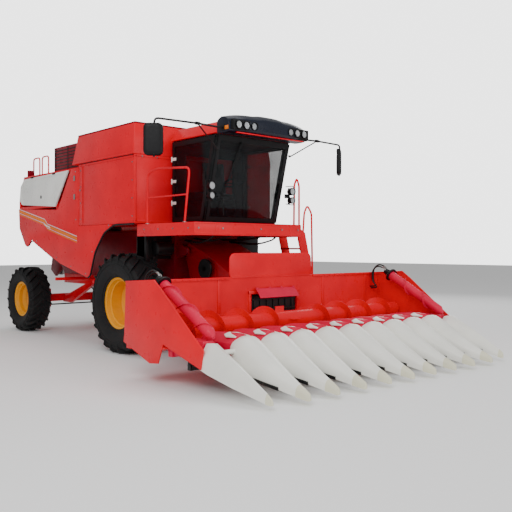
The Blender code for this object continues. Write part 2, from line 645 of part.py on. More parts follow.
def cab_frame():
    """Hollow cab body: floor, rear wall and pillars, open at the screen, the doors and the back."""
    wall = CAB_WALL
    outer = plate([(CAB_REAR, CAB_FLOOR), (screen_y(CAB_FLOOR), CAB_FLOOR), (screen_y(CAB_TOP), CAB_TOP),
                   (CAB_REAR, CAB_TOP)], "YZ", -CAB_HALF, CAB_HALF)
    low, high = CAB_FLOOR + 0.05, CAB_TOP - 0.05
    inner = plate([(CAB_REAR - wall, low), (screen_y(low) + wall, low), (screen_y(high) + wall, high),
                   (CAB_REAR - wall, high)], "YZ", -CAB_HALF + wall, CAB_HALF - wall)
    low, high = CAB_FLOOR + 0.07, CAB_TOP - 0.08
    sides = plate([(CAB_REAR - 0.09, low), (screen_y(low) + 0.08, low), (screen_y(high) + 0.08, high),
                   (CAB_REAR - 0.09, high)], "YZ", -CAB_HALF - 0.1, CAB_HALF + 0.1)
    screen = box((-CAB_HALF + 0.07, SCREEN_HEAD - 0.2, low), (CAB_HALF - 0.07, SCREEN_FOOT + 0.12, high))
    back = box((-0.55, CAB_REAR - 0.2, 2.75), (0.55, CAB_REAR + 0.2, 3.40))
    finish(cut(outer, inner, sides, screen, back), "cab_frame", "black_paint")
    foot = box((-0.70, -1.20, DECK_TOP + SEAT_GAP), (0.70, -0.60, CAB_FLOOR - SEAT_GAP))
    finish(foot, "cab_mounts", "black_paint")


def windscreen():
    low, high = CAB_FLOOR + 0.02, CAB_TOP - 0.02
    gap, thick = SEAT_GAP * 2, 0.012
    pane = plate([(screen_y(low) - gap, low), (screen_y(high) - gap, high),
                  (screen_y(high) - gap - thick, high), (screen_y(low) - gap - thick, low)],
                 "YZ", -CAB_HALF + 0.01, CAB_HALF - 0.01)
    finish(pane, "windscreen", "cab_glass")


def cab_doors():
    low, high = CAB_FLOOR + 0.02, CAB_TOP - 0.02
    rear, inset = CAB_REAR - 0.03, 0.005
    outline = [(rear, low), (screen_y(low) + inset, low), (screen_y(high) + inset, high), (rear, high)]
    for side, word in ((-1, "right"), (1, "left")):
        start = side * (CAB_HALF + SEAT_GAP)
        end = side * (CAB_HALF + DOOR_T)
        hinge = pivot_empty("cab_door_%s_axis" % word, (end, rear, (low + high) / 2))
        pane = plate(outline, "YZ", min(start, end), max(start, end))
        finish(pane, "cab_door_%s" % word, "cab_glass", hinge)


def cab_roof():
    low, half = CAB_TOP + SEAT_GAP, CAB_HALF + 0.06
    roof = taper((-half, -1.74, low), (half, CAB_REAR - 0.005, 3.82), (-half + 0.12, -1.70),
                 (half - 0.12, CAB_REAR - 0.03))
    finish(roof, "cab_roof", "red_paint")
    visor = plate([(-1.7403, low), (-1.7403, 3.86), (-1.86, 3.92), (-2.02, 3.88), (-2.14, 3.76),
                   (-2.12, 3.62),
                   (-1.98, 3.58), (-1.80, 3.58)], "YZ", -half, half)
    finish(visor, "roof_visor", "navy_plastic")


def cab_inside():
    floor = CAB_FLOOR + 0.05 + SEAT_GAP
    seat = fuse(box((-0.25, -1.02, 2.62), (0.25, -0.58, 2.74)),
                plate([(-0.70, 2.72), (-0.58, 2.72), (-0.53, 3.34), (-0.62, 3.34)], "YZ", -0.24, 0.24))
    finish(seat, "seat", "seat_fabric")
    base = fuse(box((-0.20, -0.95, floor), (0.20, -0.62, 2.62 - SEAT_GAP)),
                box((-0.60, -1.05, 2.58), (-0.30, -0.60, 2.66)),
                 box((-0.46, -0.95, floor), (-0.34, -0.70, 2.60)),
                box((-0.40, -0.90, floor), (0.0, -0.75, floor + 0.06)))
    finish(base, "seat_base", "black_paint")
    wheel_at = Vector((0, -1.18, 2.92))
    lean = Vector((0, -0.35, -0.94)).normalized()
    column = rod((0, -1.21, floor + 0.03), wheel_at, 0.045, sides=10)
    foot = box((-0.09, -1.25, floor), (0.09, -1.12, floor + 0.07))
    ring = []
    across = Vector((1, 0, 0))
    up = across.cross(lean)
    for i in range(16):
        angle = 2 * pi * i / 16
        ring.append(wheel_at + (across * cos(angle) + up * sin(angle)) * 0.19)
    rim = pipe(ring, 0.014, closed=True)
    spokes = [rod(ring[i], ring[i + 8], 0.011, sides=7) for i in (0, 3)]
    finish(fuse(column, foot, rim, *spokes), "steering_column", "black_paint")


def mirrors():
    for side, word in ((-1, "right"), (1, "left")):
        seat_x = CAB_HALF + 0.06 + SEAT_GAP
        arm = bent([(side * (seat_x + 0.005), -1.90, 3.66), (side * 1.33, -1.86, 3.68),
                    (side * 2.07, -1.76, 3.69),
                    (side * 2.07, -1.76, 3.10)], 0.05)
        pieces = [pipe(arm, 0.016)]
        brace_foot = (side * (CAB_HALF + 0.015), -1.685, 3.37)
        pieces.append(rod(brace_foot, (side * 1.33, -1.86, 3.68), 0.012, sides=8))
        low_x, high_x = sorted((side * seat_x, side * (seat_x + 0.02)))
        pieces.append(box((low_x, -1.94, 3.62), (high_x, -1.86, 3.70)))
        glass = plate(rounded((side * 2.05 - 0.19, 3.08), (side * 2.05 + 0.19, 3.66), 0.09), "XZ",
                      -1.79, -1.71)
        pieces.append(glass)
        finish(fuse(*pieces), "mirror_%s" % word, "black_paint")


def pillar_lamps():
    for side, word in ((-1, "right"), (1, "left")):
        x, y = side * (CAB_HALF + 0.10), -1.60
        housing = box((x - 0.07, y - 0.06, 2.52), (x + 0.07, y + 0.05, 2.86))
        lens = [rod((x, y - 0.05, z), (x, y - 0.10, z), r) for z, r in ((2.76, 0.065), (2.60, 0.045))]
        seat_x = side * (CAB_HALF - 0.035)
        foot = box((min(seat_x, x), y - 0.04, 2.66), (max(seat_x, x), y + 0.20, 2.72))
        notch = plate([(screen_y(2.5) - 0.0135, 2.5), (screen_y(2.9) - 0.0135, 2.9),
                       (-1.0, 2.9), (-1.0, 2.5)],
                      "YZ", -1.2, 1.2)
        finish(cut(fuse(housing, foot, *lens), notch), "pillar_lamp_%s" % word, "black_paint")


# ---------------------------------------------------------------- unloading auger
UNLOAD_AT = (1.02, 1.90)


def unloading_auger():
    """Folded back along the machine's left shoulder, swinging out on an upright elbow."""
    x, y = UNLOAD_AT
    hinge = pivot_empty("unloading_auger_axis", (x, y, 3.5))
    elbow = rod((x, y, HOOD_TOP + SEAT_GAP), (x, y, 3.70), 0.15, sides=16)
    tube = rod((x, y, 3.62), (x, 4.40, 3.52), 0.13, sides=16)
    spout = box((x - 0.13, 4.28, 3.22), (x + 0.13, 4.52, 3.62))
    finish(fuse(elbow, tube, spout), "unloading_auger", "maroon_paint", hinge)


# ---------------------------------------------------------------- feeder house and header
def feeder_house(pivot):
    """Sloping conveyor housing from the shaft down to the back of the header."""
    y0, z0 = FEEDER_PIVOT
    heel = [(y0 - 0.02, z0 - 0.47), (y0 + 0.03, z0 - 0.34), (y0 + 0.10, z0 - 0.14)]
    body = plate([(y0 + 0.10, z0 + 0.08), (y0 + 0.02, z0 + 0.13), (-1.20, z0 - 0.10),
                  (FEEDER_FACE, 1.20), (FEEDER_FACE, 0.60), (-1.30, 0.86), *heel],
                 "YZ", -FEEDER_HALF, FEEDER_HALF)
    bore_r = (SHAFT_R + SEAT_GAP) / cos(pi / SHAFT_SIDES)     # its flats clear the turning shaft
    bore = rod((-1, y0, z0), (1, y0, z0), bore_r, sides=SHAFT_SIDES)
    mouth = box((-FEEDER_HALF + 0.06, -2.10, 0.70), (FEEDER_HALF - 0.06, -1.55, 1.10))
    lug = []
    for side in (-1, 1):
        low_x, high_x = sorted((side * (PIN_HALF + SEAT_GAP), side * (PIN_HALF + 0.03)))
        lug.append(plate([(-1.80, 0.74), (-1.60, 0.82), (-1.67, 0.55), (-1.77, 0.55)], "YZ", low_x, high_x))
    finish(cut(fuse(body, *lug), bore, mouth), "feeder_house", "red_paint", pivot)


OPENING_HALF = 0.50
SHEET_T = 0.015


def header_frame(pivot):
    """Back wall, rear beam, auger trough, end sheets and guard plate of the header."""
    back, half = HEADER_REST_Y, HEADER_HALF
    wall = box((-half + 0.004, back, 0.46), (half - 0.004, back + 0.03, WALL_TOP))
    beam = box((-half + 0.006, back + 0.008, WALL_TOP - 0.12),
               (half - 0.006, back + 0.1247, WALL_TOP - 0.005))
    tube = box((-half + 0.008, back + 0.008, 0.42), (half - 0.008, back + 0.1247, 0.54))
    trough = plate([(back + 0.02, 0.50), (back + 0.02, 0.47), (AUGER_Y + 0.10, 0.44), (AUGER_Y - 0.12, 0.44),
                    (AUGER_Y - 0.34, 0.50), (-2.945, 0.50), (-2.945, 0.52), (AUGER_Y - 0.33, 0.52),
                    (AUGER_Y - 0.12, 0.465),
                    (AUGER_Y + 0.10, 0.465)], "YZ", -half + 0.010, half - 0.010)
    pieces = [wall, beam, tube, trough]
    for x in (-1.7, -0.62, 0.62, 1.7):
        pieces.append(box((x - 0.04, back + 0.02, 0.475), (x + 0.04, back + 0.115, WALL_TOP - 0.03)))
    sheet = [(-2.02, 1.33), (-2.70, 1.37), (-2.86, 1.26), (-3.74, 0.57), (-3.69, 0.34), (-2.91, 0.56),
             (-2.80, 0.30), (-2.60, 0.28), (-1.96, 0.50), (-1.98, 0.60)]
    for side in (-1, 1):
        low_x, high_x = sorted((side * (half - SHEET_T), side * half))
        pieces.append(plate(sheet, "YZ", low_x, high_x))
    pieces.append(box((-0.60, back + 0.02, 0.60), (0.60, FEEDER_FACE - SEAT_GAP, 1.21)))
    guard = plate(rounded((-0.93, 1.30), (0.87, 1.71), 0.10), "XZ", back + 0.005, back + 0.025)
    pieces.append(guard)
    body = fuse(*pieces)
    opening = box((-OPENING_HALF, back - 0.1, 0.72), (OPENING_HALF, back + 0.3, 1.06))
    finish(cut(body, opening), "header_frame", "red_paint", pivot)


def row_units(pivot):
    """Deck plates with the stalk slots, ridge covers behind the snouts and dark frames below."""
    pieces = [box((-2.62, -3.02, 0.40), (2.62, -2.925, 0.4997))]
    for i in range(ROWS - 1):
        x = (i - (ROWS - 2) / 2) * ROW_SPACING
        ridge = [(x - 0.19, 0.45), (x - 0.17, 0.62), (x - 0.05, 0.72), (x + 0.05, 0.72), (x + 0.17, 0.62),
                 (x + 0.19, 0.45)]
        cover = plate(ridge, "XZ", -2.95, -3.66)
        pieces.append(cover)
    for side in (-1, 1):
        low_x, high_x = sorted((side * 2.32, side * 2.60))
        pieces.append(taper((low_x, -3.62, 0.42), (high_x, -2.95, 0.66), (low_x, -3.62), (high_x, -2.95)))
    for i in range(ROWS):
        x = (i - (ROWS - 1) / 2) * ROW_SPACING
        for side in (-1, 1):
            pieces.append(box((x + side * 0.10 - 0.035, -3.655, 0.34),
                              (x + side * 0.10 + 0.035, -2.96, 0.46)))
    pieces.append(box((-2.62, -3.40, 0.28), (2.62, -3.34, 0.35)))
    for side in (-1, 1):
        low_x, high_x = sorted((side * 2.45, side * 2.60))
        pieces.append(box((low_x, -3.42, 0.30), (high_x, -3.32, 0.43)))
    finish(fuse(*pieces), "row_units", "maroon_paint", pivot)


def snouts(pivot):
    """Nine pointed covers between the rows and an end divider on each side, on one cross tube."""
    pieces = [rod((-2.55, -3.74, 0.52), (2.55, -3.74, 0.52), 0.03, sides=10)]
    sections = [(-3.6603, 0.20, 0.46, 0.70), (-3.80, 0.235, 0.30, HUMP_Z + 0.02), (-4.10, 0.20, 0.22, 0.53),
                (-4.45, 0.12, 0.13, 0.32), (-SNOUT_REACH, 0.03, 0.05, 0.14)]
    for i in range(ROWS - 1):
        x = (i - (ROWS - 2) / 2) * ROW_SPACING
        pieces.append(lofted(x, sections))
    for side in (-1, 1):
        pieces.append(lofted(side * 2.50, [(-3.6603, 0.17, 0.33, 0.62), (-3.80, 0.17, 0.30, 0.66),
                                           (-4.20, 0.13, 0.20, 0.44), (-4.72, 0.025, 0.06, 0.14)]))
    finish(fuse(*pieces), "snouts", "white_panel", pivot)


def lofted(x, sections, sides=8):
    """A half-round hollow-looking cover lofted through sections of (y, half width, foot, crest)."""
    bm = bmesh.new()
    rings = []
    for y, half, foot, crest in sections:
        ring = [bm.verts.new((x + half * cos(pi * i / sides), y, foot + (crest - foot) * sin(pi * i / sides)))
                for i in range(sides + 1)]
        rings.append(ring)
    for first, second in zip(rings, rings[1:]):
        for i in range(sides + 1):
            j = (i + 1) % (sides + 1)
            bm.faces.new((first[i], first[j], second[j], second[i]))
    bm.faces.new(rings[0])
    bm.faces.new(reversed(rings[-1]))
    return from_bmesh(bm)


def helix(x_start, x_end, turns, inner, outer, axis_at, thick=0.012, steps=14, phase=0.0):
    """A strip wound round an axis along X, as one closed solid."""
    bm = bmesh.new()
    rings = []
    count = int(abs(turns) * steps)
    for i in range(count + 1):
        share = i / count
        angle = phase + 2 * pi * turns * share
        x = x_start + (x_end - x_start) * share
        ring = []
        for dx, r in ((-thick / 2, inner), (thick / 2, inner), (thick / 2, outer), (-thick / 2, outer)):
            ring.append(bm.verts.new((axis_at[0] + x + dx, axis_at[1] + r * cos(angle),
                                      axis_at[2] + r * sin(angle))))
        rings.append(ring)
    for first, second in zip(rings, rings[1:]):
        for i in range(4):
            j = (i + 1) % 4
            bm.faces.new((first[i], first[j], second[j], second[i]))
    bm.faces.new(rings[0])
    bm.faces.new(reversed(rings[-1]))
    return from_bmesh(bm)


def cross_auger(pivot):
    """Tube with right- and left-hand flighting that brings the crop to the middle."""
    at = (0, AUGER_Y, AUGER_Z)
    reach = HEADER_HALF - SHEET_T - 0.09
    tube = rod((-reach, AUGER_Y, AUGER_Z), (reach, AUGER_Y, AUGER_Z), AUGER_TUBE_R, sides=20)
    stub = rod((-HEADER_HALF + SHEET_T + SEAT_GAP, AUGER_Y, AUGER_Z),
               (HEADER_HALF - SHEET_T - SEAT_GAP, AUGER_Y, AUGER_Z), 0.04, sides=12)
    pieces = [tube, stub]
    for side in (-1, 1):
        turns = max(1, round((reach - 0.45) / AUGER_PITCH))
        pieces.append(helix(side * 0.42, side * (reach - 0.03), side * turns, AUGER_TUBE_R - 0.01,
                            AUGER_R, at, steps=10))
    for i in range(4):
        angle = pi / 2 * i
        x = -0.30 + 0.20 * i
        paddle = box((x - 0.09, AUGER_Y - 0.006, AUGER_Z + AUGER_TUBE_R - 0.01),
                     (x + 0.09, AUGER_Y + 0.006, AUGER_Z + AUGER_R - 0.02))
        turn = (Matrix.Translation(at) @ Matrix.Rotation(angle, 4, "X") @ Matrix.Translation(-Vector(at)))
        paddle.data.transform(turn)
        pieces.append(paddle)
    finish(fuse(*pieces), "cross_auger", "red_paint", pivot)


END_TOP, END_FOOT = Vector((2.47, -2.62, 1.30)), Vector((2.47, -3.60, 0.74))


def end_augers(pivot):
    """Sloping augers over the end sheets, each with its motor at the top."""
    for side, word in ((-1, "right"), (1, "left")):
        top = Vector((side * END_TOP.x, END_TOP.y, END_TOP.z))
        foot = Vector((side * END_FOOT.x, END_FOOT.y, END_FOOT.z))
        along = (top - foot).normalized()
        spin = pivot_empty("end_auger_%s_axis" % word, tuple(top), pivot)
        tube = rod(foot, top, 0.075, sides=16)
        cap = rod(foot - along * 0.08, foot, 0.03, 0.075, sides=16)
        length = (top - foot).length
        strip = helix(0.03, length - 0.03, 2.5 * side, 0.07, 0.105, (0, 0, 0), thick=0.014, steps=9)
        turn = Vector((1, 0, 0)).rotation_difference(along).to_matrix().to_4x4()
        strip.data.transform(Matrix.Translation(foot) @ turn)
        finish(fuse(tube, cap, strip), "end_auger_%s" % word, "red_paint", spin)
        start = top + along * SEAT_GAP
        flange = rod(start, start + along * 0.025, 0.115, sides=16)
        motor = rod(start + along * 0.02, start + along * 0.16, 0.055, sides=12)
        inner = side * (HEADER_HALF - SHEET_T - SEAT_GAP)
        bracket = box((min(top.x, inner), start.y - 0.02, start.z - 0.03),
                      (max(top.x, inner), start.y + 0.09, start.z + 0.01))
        bracket.data.transform(Matrix.Translation(along * 0.055))
        hose = bent([start + along * 0.13, start + along * 0.13 + Vector((0, 0.02, 0.10)),
                     start + Vector((side * 0.02, 0.24, 0.16)), start + Vector((side * 0.04, 0.34, 0.00)),
                     start + Vector((side * 0.02, 0.30, -0.18))], 0.05)
        end = hose[-1]
        hose.append(Vector((end.x, HEADER_REST_Y - 0.05, end.z - 0.04)))
        hose.append(Vector((end.x, HEADER_REST_Y - SEAT_GAP, end.z - 0.04)))
        motor_set = fuse(flange, motor, bracket, pipe(hose, 0.013, sides=1))
        finish(motor_set, "end_auger_motor_%s" % word, "black_paint", pivot)


# ---------------------------------------------------------------- lift cylinders
BARREL_AT = (-0.19, AXLE_FRONT_Z - 0.25)  # y, z of the cylinders' rear pin, below the front axle
ROD_AT = (-1.72, 0.60)       # the rods' eye below the feeder house
BARREL_LENGTH, LIFT_ROD_R = 0.95, 0.028


def lift_cylinders():
    barrel_axis = pivot_empty("lift_barrel_axis", (0, *BARREL_AT))
    rod_axis = pivot_empty("lift_rod_axis", (0, *BARREL_AT), barrel_axis)
    y0, z0 = BARREL_AT
    y1, z1 = ROD_AT
    direction = Vector((0, y1 - y0, z1 - z0)).normalized()
    barrels = [rod((-PIN_HALF, y0, z0), (PIN_HALF, y0, z0), 0.03, sides=12)]
    rods, bores = [], []
    for side in (-1, 1):
        start = Vector((side * 0.40, y0, z0))
        end = Vector((side * 0.40, y1, z1))
        barrels.append(rod(start, start + direction * BARREL_LENGTH, 0.05))
        bores.append(rod(start + direction * 0.40, start + direction * (BARREL_LENGTH + 0.1),
                         LIFT_ROD_R + 0.0005, sides=12))
        rods.append(rod(start + direction * 0.42, end, LIFT_ROD_R, sides=12))
        rods.append(rod((side * (0.40 - 0.05), y1, z1), (side * PIN_HALF, y1, z1), 0.026, sides=12))
    rods.append(rod((-PIN_HALF + 0.02, y1 + 0.08, z1), (PIN_HALF - 0.02, y1 + 0.08, z1), 0.02, sides=8))
    finish(cut(fuse(*barrels), *bores), "lift_barrels", "black_paint", barrel_axis)
    finish(fuse(*rods), "lift_rods", "grey_steel", rod_axis)


# ---------------------------------------------------------------- build
def main():
    main_frame()
    front_axle()
    rear_axle()
    wheels_and_steering()
    separator_body()
    straw_chopper()
    engine_block()
    side_panels()
    grain_tank()
    tank_extension()
    tank_covers()
    rear_hood()
    service_panels()
    deck_fittings()
    platform()
    ladder()
    cab_frame()
    windscreen()
    cab_doors()
    cab_roof()
    cab_inside()
    mirrors()
    pillar_lamps()
    unloading_auger()
    header = pivot_empty("feeder_axis", (0, *FEEDER_PIVOT))
    feeder_house(header)
    header_frame(header)
    row_units(header)
    snouts(header)
    spin = pivot_empty("cross_auger_axis", (0, AUGER_Y, AUGER_Z), header)
    cross_auger(spin)
    end_augers(header)
    lift_cylinders()


main()
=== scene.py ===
# %% [markdown]
# # A red combine harvester with a ten-row maize header
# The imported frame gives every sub-part at its real size and place, in metres: the machine looks
# along -Y, its left side is +X and it stands on Z = 0. This lesson adds what the plain solids do
# not have: paint, rubber and glass, and the small parts that make sheet metal look real.

# %% Load the frame
import json
from math import cos, pi, radians, sin

import bmesh
import bpy
from mathutils import Matrix, Vector


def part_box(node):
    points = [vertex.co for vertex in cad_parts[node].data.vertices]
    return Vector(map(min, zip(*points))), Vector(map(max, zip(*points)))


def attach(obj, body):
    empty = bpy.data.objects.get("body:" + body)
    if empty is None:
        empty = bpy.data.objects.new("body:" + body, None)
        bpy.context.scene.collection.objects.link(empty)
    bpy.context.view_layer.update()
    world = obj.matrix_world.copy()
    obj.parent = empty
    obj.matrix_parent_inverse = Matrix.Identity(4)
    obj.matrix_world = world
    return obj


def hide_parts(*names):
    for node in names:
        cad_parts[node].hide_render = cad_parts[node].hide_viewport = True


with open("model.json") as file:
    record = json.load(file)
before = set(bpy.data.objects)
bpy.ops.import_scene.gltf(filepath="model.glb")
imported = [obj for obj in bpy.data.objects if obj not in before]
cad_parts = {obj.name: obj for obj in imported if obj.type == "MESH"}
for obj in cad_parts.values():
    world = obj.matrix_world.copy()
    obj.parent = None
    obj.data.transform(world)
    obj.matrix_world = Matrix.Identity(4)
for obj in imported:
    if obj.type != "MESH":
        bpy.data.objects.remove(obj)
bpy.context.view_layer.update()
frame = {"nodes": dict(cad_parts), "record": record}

nodes = frame["nodes"]

# %% [markdown]
# ## Camera
# The machine is seen from its front right corner by someone standing well back, at eye height.
# A level camera keeps the pillars upright, so the eye height is set by where it stands and the
# framing by a small lens shift, not by tilting.

# %% Camera
EYE = Vector((-7.680, -10.156, 1.786))
HEADING = radians(-41.0)
camera_data = bpy.data.cameras.new("camera")
camera_data.sensor_width = 36.0
camera_data.lens = 48.28
camera_data.shift_x, camera_data.shift_y = 0.03125, -0.0155
camera_data.clip_end = 200.0
camera = bpy.data.objects.new("camera", camera_data)
camera.location = EYE
camera.rotation_euler = (radians(90.0), 0.0, HEADING)
bpy.context.scene.collection.objects.link(camera)
bpy.context.scene.camera = camera
print("camera", tuple(round(v, 2) for v in camera.location))

# %% [markdown]
# ## Floor and light
# The studio is plain: a pale floor, a pale world and four large soft lamps. Big area lamps give
# the long soft highlights that enamel on flat panels needs; a small lamp would only leave dots.

# %% Floor and world
bm = bmesh.new()
bmesh.ops.create_grid(bm, x_segments=1, y_segments=1, size=60.0)
floor_mesh = bpy.data.meshes.new("floor")
bm.to_mesh(floor_mesh)
bm.free()
floor = bpy.data.objects.new("floor", floor_mesh)
bpy.context.scene.collection.objects.link(floor)
floor_paint = bpy.data.materials.new("floor")
floor_paint.use_nodes = True
floor_paint.node_tree.nodes["Principled BSDF"].inputs["Base Color"].default_value = (0.97, 0.97,
        0.97, 1)
floor_paint.node_tree.nodes["Principled BSDF"].inputs["Roughness"].default_value = 0.9
floor_mesh.materials.append(floor_paint)

world = bpy.data.worlds.new("studio")
world.use_nodes = True
world.node_tree.nodes["Background"].inputs["Color"].default_value = (1.0, 1.0, 1.0, 1)
world.node_tree.nodes["Background"].inputs["Strength"].default_value = 0.50
# The room that lights the machine is dim, and what the camera sees behind it is bright.
tree = world.node_tree
backdrop = tree.nodes.new("ShaderNodeBackground")
backdrop.inputs["Strength"].default_value = 4.0
chooser, path = tree.nodes.new("ShaderNodeMixShader"), tree.nodes.new("ShaderNodeLightPath")
tree.links.new(path.outputs["Is Camera Ray"], chooser.inputs[0])
tree.links.new(tree.nodes["Background"].outputs[0], chooser.inputs[1])
tree.links.new(backdrop.outputs[0], chooser.inputs[2])
tree.links.new(chooser.outputs[0], tree.nodes["World Output"].inputs["Surface"])
bpy.context.scene.world = world
print("floor and world ready")

# %% Lamps
LAMPS = [  # name, place, target, size, watts
    ("key", (-11.0, -9.0, 10.0), (0.0, 0.0, 1.5), 7.0, 1000.0),
    ("front_fill", (3.0, -15.0, 6.0), (0.0, -2.0, 1.5), 8.0, 560.0),
    ("left_fill", (13.0, 4.0, 8.0), (0.0, 0.0, 1.5), 7.0, 420.0),
    ("top", (0.0, 1.0, 13.0), (0.0, 0.0, 0.0), 9.0, 480.0),
]
for name, place, target, size, watts in LAMPS:
    lamp_data = bpy.data.lights.new(name, "AREA")
    lamp_data.shape = "SQUARE"
    lamp_data.size = size
    lamp_data.energy = watts
    lamp = bpy.data.objects.new(name, lamp_data)
    lamp.location = place
    lamp.rotation_euler = (Vector(target) - Vector(place)).to_track_quat("-Z", "Y").to_euler()
    bpy.context.scene.collection.objects.link(lamp)
print(len(LAMPS), "soft lamps")

# %% [markdown]
# ## Shader maths as expressions
# A finish is easier to read as `dust = (0.6 - height) * mottling` than as a string of Math nodes.
# `Value` wraps one socket and turns each operator into its Math node; `Finish` is one material
# with a Principled shader, and its `node` method makes any other node.

# %% Shader helpers
class Value:
    def __init__(self, finish, socket):
        self.finish, self.socket = finish, socket

    def maths(self, operation, other, swap=False):
        first, second = (other, self) if swap else (self, other)
        return self.finish.node("ShaderNodeMath", {"operation": operation}, {0: first, 1: second})

    def __add__(self, other):
        return self.maths("ADD", other)

    __radd__ = __add__

    def __sub__(self, other):
        return self.maths("SUBTRACT", other)

    def __rsub__(self, other):
        return self.maths("SUBTRACT", other, swap=True)

    def __mul__(self, other):
        return self.maths("MULTIPLY", other)

    __rmul__ = __mul__

    def __truediv__(self, other):
        return self.maths("DIVIDE", other)

    def __lt__(self, other):
        return self.maths("LESS_THAN", other)

    def __gt__(self, other):
        return self.maths("GREATER_THAN", other)

    def clamp(self):
        return self.finish.node("ShaderNodeClamp", {}, {"Value": self})


class Finish:
    def __init__(self, name, colour, roughness, metallic=0.0, **fixed):
        self.material = bpy.data.materials.new(name)
        self.material.use_nodes = True
        self.tree = self.material.node_tree
        self.shader = self.tree.nodes["Principled BSDF"]
        self.colour = colour
        self.shader.inputs["Base Color"].default_value = (*colour, 1.0)
        self.shader.inputs["Roughness"].default_value = roughness
        self.shader.inputs["Metallic"].default_value = metallic
        self.material.diffuse_color = (*colour, 1.0)
        for socket, number in fixed.items():
            self.shader.inputs[socket.replace("_", " ").title().replace("Ior",
                    "IOR")].default_value = number
        self.place = self.node("ShaderNodeTexCoord", {}, {}, "Object")

    def node(self, kind, settings, inputs, output=0):
        made = self.tree.nodes.new(kind)
        for key, setting in settings.items():
            if key == "stops":
                while len(made.color_ramp.elements) < len(setting):
                    made.color_ramp.elements.new(0.5)
                for element, (position, colour) in zip(made.color_ramp.elements, setting):
                    element.position, element.color = position, (*colour, 1.0)
            else:
                setattr(made, key, setting)
        for key, value in inputs.items():
            if isinstance(value, Value):
                self.tree.links.new(value.socket, made.inputs[key])
            else:
                made.inputs[key].default_value = value
        return Value(self, made.outputs[output])

    def noise(self, scale, detail=3.0, roughness=0.55, stretch=None):
        place = self.place
        if stretch is not None:
            place = self.node("ShaderNodeMapping", {}, {"Vector": place, "Scale": stretch})
        return self.node("ShaderNodeTexNoise", {},
                {"Vector": place, "Scale": scale, "Detail": detail,
                                                    "Roughness": roughness})

    def height(self):
        return self.node("ShaderNodeSeparateXYZ", {}, {0: self.place}, 2)

    def between(self, value, low, high, to_low=0.0, to_high=1.0):
        return self.node("ShaderNodeMapRange", {"clamp": True},
                         {"Value": value, "From Min": low, "From Max": high, "To Min": to_low,
                                 "To Max": to_high})

    def mix(self, share, first, second):
        first = (*first, 1.0) if isinstance(first, tuple) and len(first) == 3 else first
        second = (*second, 1.0) if isinstance(second, tuple) and len(second) == 3 else second
        return self.node("ShaderNodeMix", {"data_type": "RGBA"}, {0: share, 6: first, 7: second}, 2)

    def bump(self, height, strength, distance=0.001):
        self.connect("Normal", self.node("ShaderNodeBump", {},
                {"Height": height, "Strength": strength,
                                                                "Distance": distance}))

    def connect(self, socket, value):
        self.tree.links.new(value.socket, self.shader.inputs[socket])


# %% [markdown]
# ## The finishes
# The sheet metal is sprayed enamel: smooth, with a faint orange-peel ripple, a coat that reflects
# the lamps, and a film of field dust that is thicker near the ground. One function makes every
# enamel, so red, dark red, yellow and black age in the same way.

# %% Enamel
DUST = (0.30, 0.24, 0.18)


def enamel(name, colour, roughness=0.30, dust=0.35, shade=0.82, coat=0.5, specular=0.5):
    finish = Finish(name, colour, roughness, coat_weight=coat, coat_roughness=0.12,
            specular_ior_level=specular)
    mottling = finish.noise(1.7, detail=4.0)
    fine = finish.noise(9.0, detail=6.0, roughness=0.6)
    low_down = finish.between(finish.height(), 0.1, 1.4, 1.0, 0.10)
    film = (finish.between(fine, 0.40, 0.85) * low_down * dust).clamp()
    darker = tuple(c * shade for c in colour)
    paint = finish.mix(finish.between(mottling, 0.35, 0.65), darker, colour)
    finish.connect("Base Color", finish.mix(film, paint, DUST))
    finish.connect("Roughness",
            finish.between(fine, 0.3, 0.8, roughness * 0.8, roughness * 1.5) + film * 0.4)
    finish.bump(finish.noise(160.0, detail=2.0), 0.04)
    return finish.material


red = enamel("red_enamel", (0.86, 0.001, 0.016), dust=0.10, shade=0.86, coat=0.04, specular=0.16)
dark_red = enamel("dark_red_enamel", (0.24, 0.002, 0.014), roughness=0.40, dust=0.15, coat=0.03,
        specular=0.2)
rose_red = enamel("rose_red_enamel", (0.78, 0.004, 0.060), roughness=0.38, dust=0.08, coat=0.04,
        specular=0.2)
yellow = enamel("rim_yellow_enamel", (0.95, 0.40, 0.002), roughness=0.36, dust=0.22, coat=0.05,
        specular=0.25)
black = enamel("black_satin", (0.006, 0.006, 0.007), roughness=0.42, dust=0.10, coat=0.05,
        specular=0.3)
print("enamels:", [m.name for m in (red, dark_red, rose_red, yellow, black)])

# %% Plastics, rubber, glass, steel and cloth
def moulded(name, colour, roughness, grain=220.0, depth=0.08, **fixed):
    finish = Finish(name, colour, roughness, **fixed)
    cloud = finish.noise(2.4, detail=3.0)
    finish.connect("Base Color",
            finish.mix(finish.between(cloud, 0.3, 0.7), tuple(c * 0.9 for c in colour), colour))
    finish.connect("Roughness",
            finish.between(finish.noise(30.0), 0.3, 0.7, roughness * 0.85, roughness * 1.2))
    finish.bump(finish.noise(grain, detail=2.0), depth)
    return finish.material


def rubber():
    finish = Finish("tyre_rubber", (0.008, 0.008, 0.009), 0.75, specular_ior_level=0.25)
    worn = finish.between(finish.noise(9.0, detail=6.0, roughness=0.7), 0.45, 0.72)
    low_down = finish.between(finish.height(), 0.0, 1.2, 1.0, 0.45)
    finish.connect("Base Color",
            finish.mix(worn * low_down * 0.30, (0.008, 0.008, 0.009), (0.075, 0.065, 0.055)))
    finish.connect("Roughness", finish.between(worn, 0.0, 1.0, 0.62, 0.88))
    finish.bump(finish.noise(90.0, detail=5.0, roughness=0.7), 0.25, 0.002)
    return finish.material


